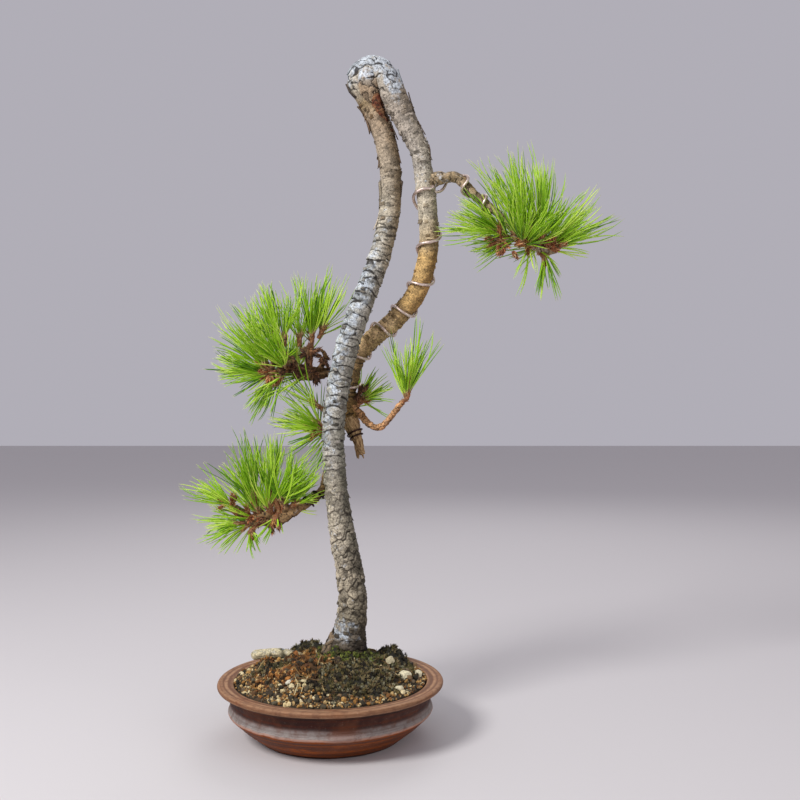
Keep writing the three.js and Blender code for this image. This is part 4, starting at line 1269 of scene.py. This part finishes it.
def build_pot():
    """The pot, spun from its profile: throwing lines, a hand's slight waver, and drain holes."""
    bm = bmesh.new()
    profile = eased([*POT_OUTSIDE, *POT_INSIDE], 1.0)
    verts = [bm.verts.new(p) for p in profile]
    for a, b in zip(verts, verts[1:]):
        bm.edges.new((a, b))
    for _ in range(3):
        bmesh.ops.smooth_vert(
            bm, verts=[v for v in verts[1:-1] if v.co.z > 2], factor=0.35, use_axis_x=True, use_axis_z=True,
        )
    bmesh.ops.spin(
        bm, geom=bm.verts[:] + bm.edges[:], axis=(0, 0, 1), cent=(0, 0, 0), angle=2 * math.pi,
        steps=WHEEL_STEPS, use_merge=True,
    )
    bmesh.ops.remove_doubles(bm, verts=bm.verts, dist=0.01)
    bmesh.ops.recalc_face_normals(bm, faces=bm.faces)
    for vert in bm.verts:
        if vert.co.z < 2:
            continue
        out = Vector((vert.co.x, vert.co.y, 0))
        radius = out.length
        if radius < 40:
            continue
        out.normalize()
        spiral = vert.co.z + 1.4 * math.atan2(out.y, out.x) / (2 * math.pi)
        lines = LINE_DEPTH * noise.noise(Vector((0, radius * 0.8, spiral * 0.9)))
        lines += RING_DEPTH * math.sin(spiral * 4.2)
        groove = LIP_GROOVES * noise.noise(Vector((0.4, radius * 0.9, 0))) if vert.co.z > 39 else 0
        waver = HAND_WAVER * noise.noise(out * 1.6) * vert.co.z / POT_HEIGHT
        pits = PIT_DEPTH * noise.noise(vert.co * 0.5)
        vert.co += out * (lines + waver + pits) + UP * (groove + 0.3 * waver)
    for face in bm.faces:
        face.smooth = True
    bm.transform(Matrix.Scale(MM, 4))
    piece = placed("pot_stoneware", as_mesh(bm, "pot_stoneware"))
    drilled(piece)
    piece.data.materials.clear()
    piece.data.materials.append(STONEWARE)
    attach(piece, "root")
    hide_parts("pot")
    return piece


def drilled(piece):
    """Cuts the drain holes through the floor of the pot."""
    bm = bmesh.new()
    for i in range(DRAIN_COUNT):
        angle = math.pi / 2 + i * 2 * math.pi / DRAIN_COUNT
        made = bmesh.ops.create_cone(
            bm, cap_ends=True, segments=32, depth=20 * MM,
            radius1=DRAIN_RADIUS * MM, radius2=DRAIN_RADIUS * MM,
        )["verts"]
        place = (DRAIN_RING * MM * math.cos(angle), DRAIN_RING * MM * math.sin(angle), 3 * MM)
        bmesh.ops.translate(bm, vec=place, verts=made)
    cutter = placed("drain_cutters", as_mesh(bm, "drain_cutters"))
    cut = piece.modifiers.new("drain_holes", "BOOLEAN")
    cut.object = cutter
    cut.operation = "DIFFERENCE"
    cut.solver = "EXACT"
    bpy.context.view_layer.update()
    shaped = bpy.data.meshes.new_from_object(piece.evaluated_get(bpy.context.evaluated_depsgraph_get()))
    piece.modifiers.clear()
    piece.data = shaped
    bpy.data.objects.remove(cutter)


# ---------------------------------------------------------------- ground

def ground_height(x, y):
    """The soil's own height, as in the solid."""
    inward = max(0.0, 1 - (x * x + y * y) / SOIL_RADIUS ** 2)
    swell = math.sin(x / 6.3 + 1) * math.cos(y / 7.1) + 0.6 * math.sin(x / 11 - y / 5.2)
    return SOIL_EDGE_HEIGHT + MOUND_RISE * inward + MOUND_BUMP * swell * math.sqrt(inward)


def bank_height(x, y):
    """How far soil is banked up under the bare root, which it carries."""
    along = (x + 61) / 73
    if not -0.08 < along < 1:
        return 0.0
    middle = 4 + 12 * min(1.0, max(0.0, along))
    off = abs(y - middle)
    bank = max(0.0, 57 - ground_height(x, y))
    return bank * smooth_step(0, 1, 1 - off / 13) * smooth_step(-0.1, 0.1, along)


def surface_height(x, y):
    """The ground with its bank and its small lumps."""
    lumps = noise.fractal(Vector((x * 0.11, y * 0.11, 3)), SOFT_FADE, FINER, 4)
    inward = max(0.0, 1 - (x * x + y * y) / SOIL_RADIUS ** 2)
    rim = 1.3 * (1 - smooth_step(0.0, 0.16, inward))
    return ground_height(x, y) + bank_height(x, y) + 4.2 * lumps * min(1.0, 3 * inward) + rim


def moss_share(x, y):
    """How mossy the ground is: most in the middle and to the front right, little near the rim."""
    reach = math.hypot(x, y) / SOIL_RADIUS
    right = smooth_step(-50, 5, x + 0.3 * y)
    patch = 0.6 * noise.noise(Vector((x * 0.08, y * 0.08, 8)))
    return smooth_step(0.3, 0.62, 0.35 + 0.75 * right + patch - 0.85 * smooth_step(0.66, 0.97, reach))


def orange_share(x, y):
    """How rusty the ground is: a band left of the middle."""
    patch = 0.6 * noise.noise(Vector((x * 0.09, y * 0.09, 2)))
    return smooth_step(0.15, 0.6, 1 - math.hypot(x + 26, (y + 12) * 0.8) / 44 + patch)


GRIT_TONES = [
    "#b89a66", "#d2bd8c", "#a07a44", "#96692f", "#7a5228", "#b58a4c", "#dccba0", "#84694a", "#5f4426",
]
ORANGE_TONES = ["#9a6230", "#b07438", "#7a4c26", "#c48c4c", "#5e3c22", "#cba468"]
DARK_TONES = ["#3a3426", "#4b4332", "#2c281c", "#5a5340", "#6a5a44"]
MOSS_TONES = [
    "#3c381c", "#56502a", "#6a5e34", "#2c2616", "#7c6c44", "#8c7c58", "#8a866c", "#523c20", "#241c12",
]
GREEN_TONES = ["#5a661e", "#6f7a26", "#47501c", "#828a3c", "#343c16", "#4a4424"]
RUSTY_MOSS_TONES = ["#6e4620", "#8f5e2a", "#4e341a", "#a87a40", "#3e2c18"]


GRAIN_COUNT, TUFT_COUNT, FALLEN_COUNT = 6800, 4200, 46


def build_ground():
    """The soil: a lumpy surface, its side against the pot, and its flat underside."""
    piece = Piece("soil_ground")
    bm = piece.bm
    top = eased([(0, 60), (75.4, 42)], 1.5)
    below = eased([(75.4, 42), (71.9, 29.5), (70.4, 21.5), (60.4, 10.9), (51.7, 7.1), (0, 7.1)], 6)[1:]
    verts = [bm.verts.new(p) for p in top + below]
    for vert in verts[:len(top)]:
        vert[piece.marks] = (1, 0, 0)
    for a, b in zip(verts, verts[1:]):
        bm.edges.new((a, b))
    bmesh.ops.spin(bm, geom=bm.verts[:] + bm.edges[:], axis=(0, 0, 1), cent=(0, 0, 0), angle=2 * math.pi,
                   steps=180, use_merge=True)
    bmesh.ops.remove_doubles(bm, verts=bm.verts, dist=0.01)
    bmesh.ops.recalc_face_normals(bm, faces=bm.faces)
    dark, rust = linear("#3a3022"), linear("#5e4022")
    for vert in bm.verts:
        if vert[piece.marks].x > 0.5:
            vert.co.z = surface_height(vert.co.x, vert.co.y)
        vert[piece.tone] = blend(dark, rust, orange_share(vert.co.x, vert.co.y))
        vert[piece.straight] = vert.co
    for face in bm.faces:
        face.smooth = True
    return piece.finished([SOIL], ["soil"])


def scatter(rng, count, reach=SOIL_RADIUS + 0.2):
    """Spots spread evenly over the ground."""
    for _ in range(count):
        away, angle = reach * math.sqrt(rng.random()), rng.uniform(0, 2 * math.pi)
        yield away * math.cos(angle), away * math.sin(angle)


def build_grit():
    """Thousands of granules of pumice and baked clay, 1.2 to 4 mm, closest near the rim."""
    piece = Piece("grit_granules")
    rng = random.Random("grit")
    for x, y in scatter(rng, GRAIN_COUNT):
        mossy = moss_share(x, y)
        if rng.random() < 0.68 * mossy:
            continue
        size = rng.uniform(1.0, 2.5) if rng.random() < 0.86 else rng.uniform(2.5, 4.6)
        rusty = orange_share(x, y)
        tones = ORANGE_TONES if rng.random() < rusty else GRIT_TONES
        if rng.random() < 0.3 + 0.4 * mossy:
            tones = DARK_TONES
        centre = Vector((x, y, surface_height(x, y) + size * rng.uniform(0.05, 0.4)))
        turned = tumbled(rng, 3.14)
        stretch = Vector([rng.uniform(0.55, 1.35) for _ in range(3)])
        seed = rng.uniform(0, 99)

        def place(p):
            rough = 1 + 0.45 * noise.noise(p * 2.5 + Vector((seed, 0, 0)))
            return centre + turned @ Vector([c * s for c, s in zip(p, stretch)]) * size * rough

        piece.copy_in(GRAIN, place, linear(rng.choice(tones)), smooth=False)
    return piece.finished([GRIT])


def add_tuft(piece, x, y, z, size, tone, rng, lean=0.5):
    """One tuft of moss, leaning its own way."""
    turned = tumbled(rng, lean)
    foot = Vector((x, y, z - 0.3))
    piece.copy_in(MOSS_TUFT, lambda p: foot + turned @ (p * size), tone)


def build_moss_cover():
    """Loose moss and crumbs between the cushions."""
    piece = Piece("loose_moss")
    rng = random.Random("cover")
    for x, y in scatter(rng, TUFT_COUNT, SOIL_RADIUS - 3):
        mossy, rusty = moss_share(x, y), orange_share(x, y)
        if rng.random() > max(mossy, 0.6 * rusty):
            continue
        tones = RUSTY_MOSS_TONES if rng.random() < rusty else MOSS_TONES
        near_trunk = 1 - smooth_step(16, 34, math.hypot(x - 13, y - 6))
        if rng.random() < 0.75 * near_trunk:
            tones = GREEN_TONES
        size, tone = rng.uniform(1.8, 4.4), linear(rng.choice(tones))
        add_tuft(piece, x, y, surface_height(x, y), size, tone, rng, 1.1)
    return piece.finished([MOSS])


def moss_tones(name):
    """The tones of one cushion."""
    if name == "moss_trunk_foot":
        return GREEN_TONES + MOSS_TONES[:3]
    return MOSS_TONES + (["#1f1c14", "#2a261a"] if "mound" in name else ["#4b4332"])


TUFT_DENSITY = 0.95  # tufts for each square millimetre of half width by half depth


def build_cushion(name, spot):
    """One cushion of moss: a low lumpy dome under close tufts."""
    x0, y0, wide, deep, high = spot
    rng = random.Random(name)
    piece = Piece(name + "_cushion")
    dark = linear("#26241a")

    def dome(dx, dy):
        """Height of the dome over a spot given as shares of its half width and depth."""
        away = min(1.0, math.hypot(dx, dy))
        lumps = 1 + 0.35 * noise.fractal(Vector((dx * 2.4, dy * 2.4, x0)), SOFT_FADE, FINER, 3)
        return (high + 2) * math.sqrt(1 - away * away) * lumps

    tones = moss_tones(name)
    for _ in range(round(wide * deep * TUFT_DENSITY)):
        away, angle = math.sqrt(rng.random()), rng.uniform(0, 2 * math.pi)
        dx, dy = away * math.cos(angle), away * math.sin(angle)
        x, y = x0 + dx * wide, y0 + dy * deep
        z = surface_height(x, y) - 2 + dome(dx, dy)
        add_tuft(piece, x, y, z, rng.uniform(1.6, 3.8), linear(rng.choice(tones)), rng, 1.0)
    piece.put_by()
    made = bmesh.ops.create_uvsphere(piece.bm, u_segments=48, v_segments=24, radius=1)["verts"]
    for vert in made:
        dx, dy = vert.co.x, vert.co.y
        top = vert.co.z >= 0
        edge = 1 + 0.07 * math.sin(3 * math.atan2(dy, dx) + x0) + 0.05 * math.sin(5 * math.atan2(dy, dx) + y0)
        vert.co = Vector((x0 + dx * wide * edge, y0 + dy * deep * edge, 0))
        ground = surface_height(vert.co.x, vert.co.y)
        vert.co.z = ground - 2 + dome(dx, dy) if top else ground - 2.6
        vert[piece.tone] = dark
    for face in piece.bm.faces:
        face.smooth = True
    return piece.finished([MOSS], [name])


def build_stone(name, spot):
    """One broken stone with a few flat faces."""
    x0, y0, size = spot
    piece = Piece(name + "_broken")
    bm = piece.bm
    rng = random.Random(name)
    bmesh.ops.create_icosphere(bm, subdivisions=4, radius=size * 1.05)
    for _ in range(9):
        way = any_way(rng).normalized()
        depth = size * rng.uniform(0.55, 0.9)
        for vert in bm.verts:
            beyond = vert.co.dot(way) - depth
            if beyond > 0:
                vert.co -= way * beyond * 0.94
    pale = linear(rng.choice(("#d9cfae", "#c9bd9a", "#e2dcc6")))
    centre = Vector((x0, y0, surface_height(x0, y0) + size * 0.35))
    for vert in bm.verts:
        vert.co += vert.co.normalized() * 0.16 * noise.fractal(vert.co * 0.9, SOFT_FADE, FINER, 4)
        vert.co = Vector((vert.co.x, vert.co.y, vert.co.z * 0.8)) + centre
        vert[piece.tone] = pale
        vert[piece.straight] = vert.co
    return piece.finished([STONE], [name])


def build_dead_needles():
    """Dry needles that have dropped on the soil, curved and straw coloured."""
    piece = Piece("dropped_needles")
    rng = random.Random("dropped")
    for x, y in scatter(rng, FALLEN_COUNT, SOIL_RADIUS - 14):
        turn = rng.uniform(0, 2 * math.pi)
        way = Vector((math.cos(turn), math.sin(turn), 0))
        reach, curve, rise = rng.uniform(14, 30), rng.uniform(-0.3, 0.3), rng.uniform(0, 0.22)
        side = Vector((-way.y, way.x, 0))

        def place(p):
            spot = Vector((x, y, 0)) + way * reach * (p.z - 0.5) + side * reach * curve * p.z * (1 - p.z) * 2
            inside = min(1.0, (SOIL_RADIUS - 2) / max(1.0, math.hypot(spot.x, spot.y)))
            spot *= inside
            low = surface_height(spot.x, spot.y) + 1.9 + rise * reach * p.z * (1 - p.z)
            return Vector((spot.x, spot.y, low)) + side * (p.x * 0.45) + UP * (p.y * 0.4)

        tone = linear(rng.choice(("#b39a68", "#8f7040", "#cdbd90", "#6e5230")))
        piece.copy_in(NEEDLE, place, tone, material=0)
    return piece.finished([GRIT])


# ---------------------------------------------------------------- stage

def lay_floor():
    """A plain pale floor."""
    bm = bmesh.new()
    bmesh.ops.create_grid(bm, x_segments=1, y_segments=1, size=6)
    floor = placed("floor", as_mesh(bm, "floor"))
    material, _, shader = new_material("matt_pale_floor")
    plug(shader, {"Base Color": linear("#cfcbcb"), "Roughness": 0.9})
    floor.data.materials.append(material)


def light_room():
    """A soft room, with a key light at the front left, a weak fill and a light from behind."""
    world = bpy.data.worlds.new("soft_room")
    world.use_nodes = True
    background = world.node_tree.nodes["Background"]
    plug(background, {"Color": linear("#c9c6d0"), "Strength": 0.75})
    bpy.context.scene.world = world

    lights = [  # name, place, aim, size across, watts
        ("key_softbox", (-0.85, -0.9, 1.2), (0.04, 0, 0.26), 0.55, 23),
        ("fill_softbox", (1.1, -1.0, 0.7), (0.04, 0, 0.25), 1.0, 3.5),
        ("back_softbox", (0.3, 1.3, 1.3), (0.04, 0, 0.25), 1.0, 5),
    ]
    for name, place, aim, size, watts in lights:
        lamp = bpy.data.lights.new(name, "AREA")
        lamp.shape = "DISK"
        lamp.size = size
        lamp.energy = watts
        light = placed(name, lamp)
        light.location = place
        light.rotation_euler = (Vector(aim) - Vector(place)).to_track_quat("-Z", "Y").to_euler()


def place_camera():
    """The camera, level and a little right of the pot's middle."""
    camera = bpy.data.cameras.new("camera")
    camera.lens = 42.19
    camera.sensor_width = 36
    camera.shift_y = 0.0125
    view = placed("camera", camera)
    view.location = (0.055, -0.750, 0.258)
    view.rotation_euler = (math.pi / 2, 0, 0)
    bpy.context.scene.camera = view
    bpy.context.scene.view_settings.view_transform = "Standard"


lay_floor()
light_room()
place_camera()
build_pot()
build_ground()
build_grit()
build_moss_cover()
for moss, spot in MOSSES.items():
    build_cushion(moss, spot)
for stone, spot in STONES.items():
    build_stone(stone, spot)
build_dead_needles()
build_trunk()
build_stub()
bark_flakes()
build_roots()
build_branches()
for name, shoot in SHOOTS.items():
    grow_shoot(name, shoot)
for name, shoots in SIDE_SHOOTS.items():
    grow_side_shoots(name, shoots)
scale_masses()
build_wires()
for name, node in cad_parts.items():
    if name.startswith("drain_screen"):
        node.data.materials.clear()
        node.data.materials.append(SCREEN)

for mesh in (NEEDLE, SHEATH, SCALE_LEAF, FLAKE, GRAIN, MOSS_TUFT):
    bpy.data.meshes.remove(mesh)
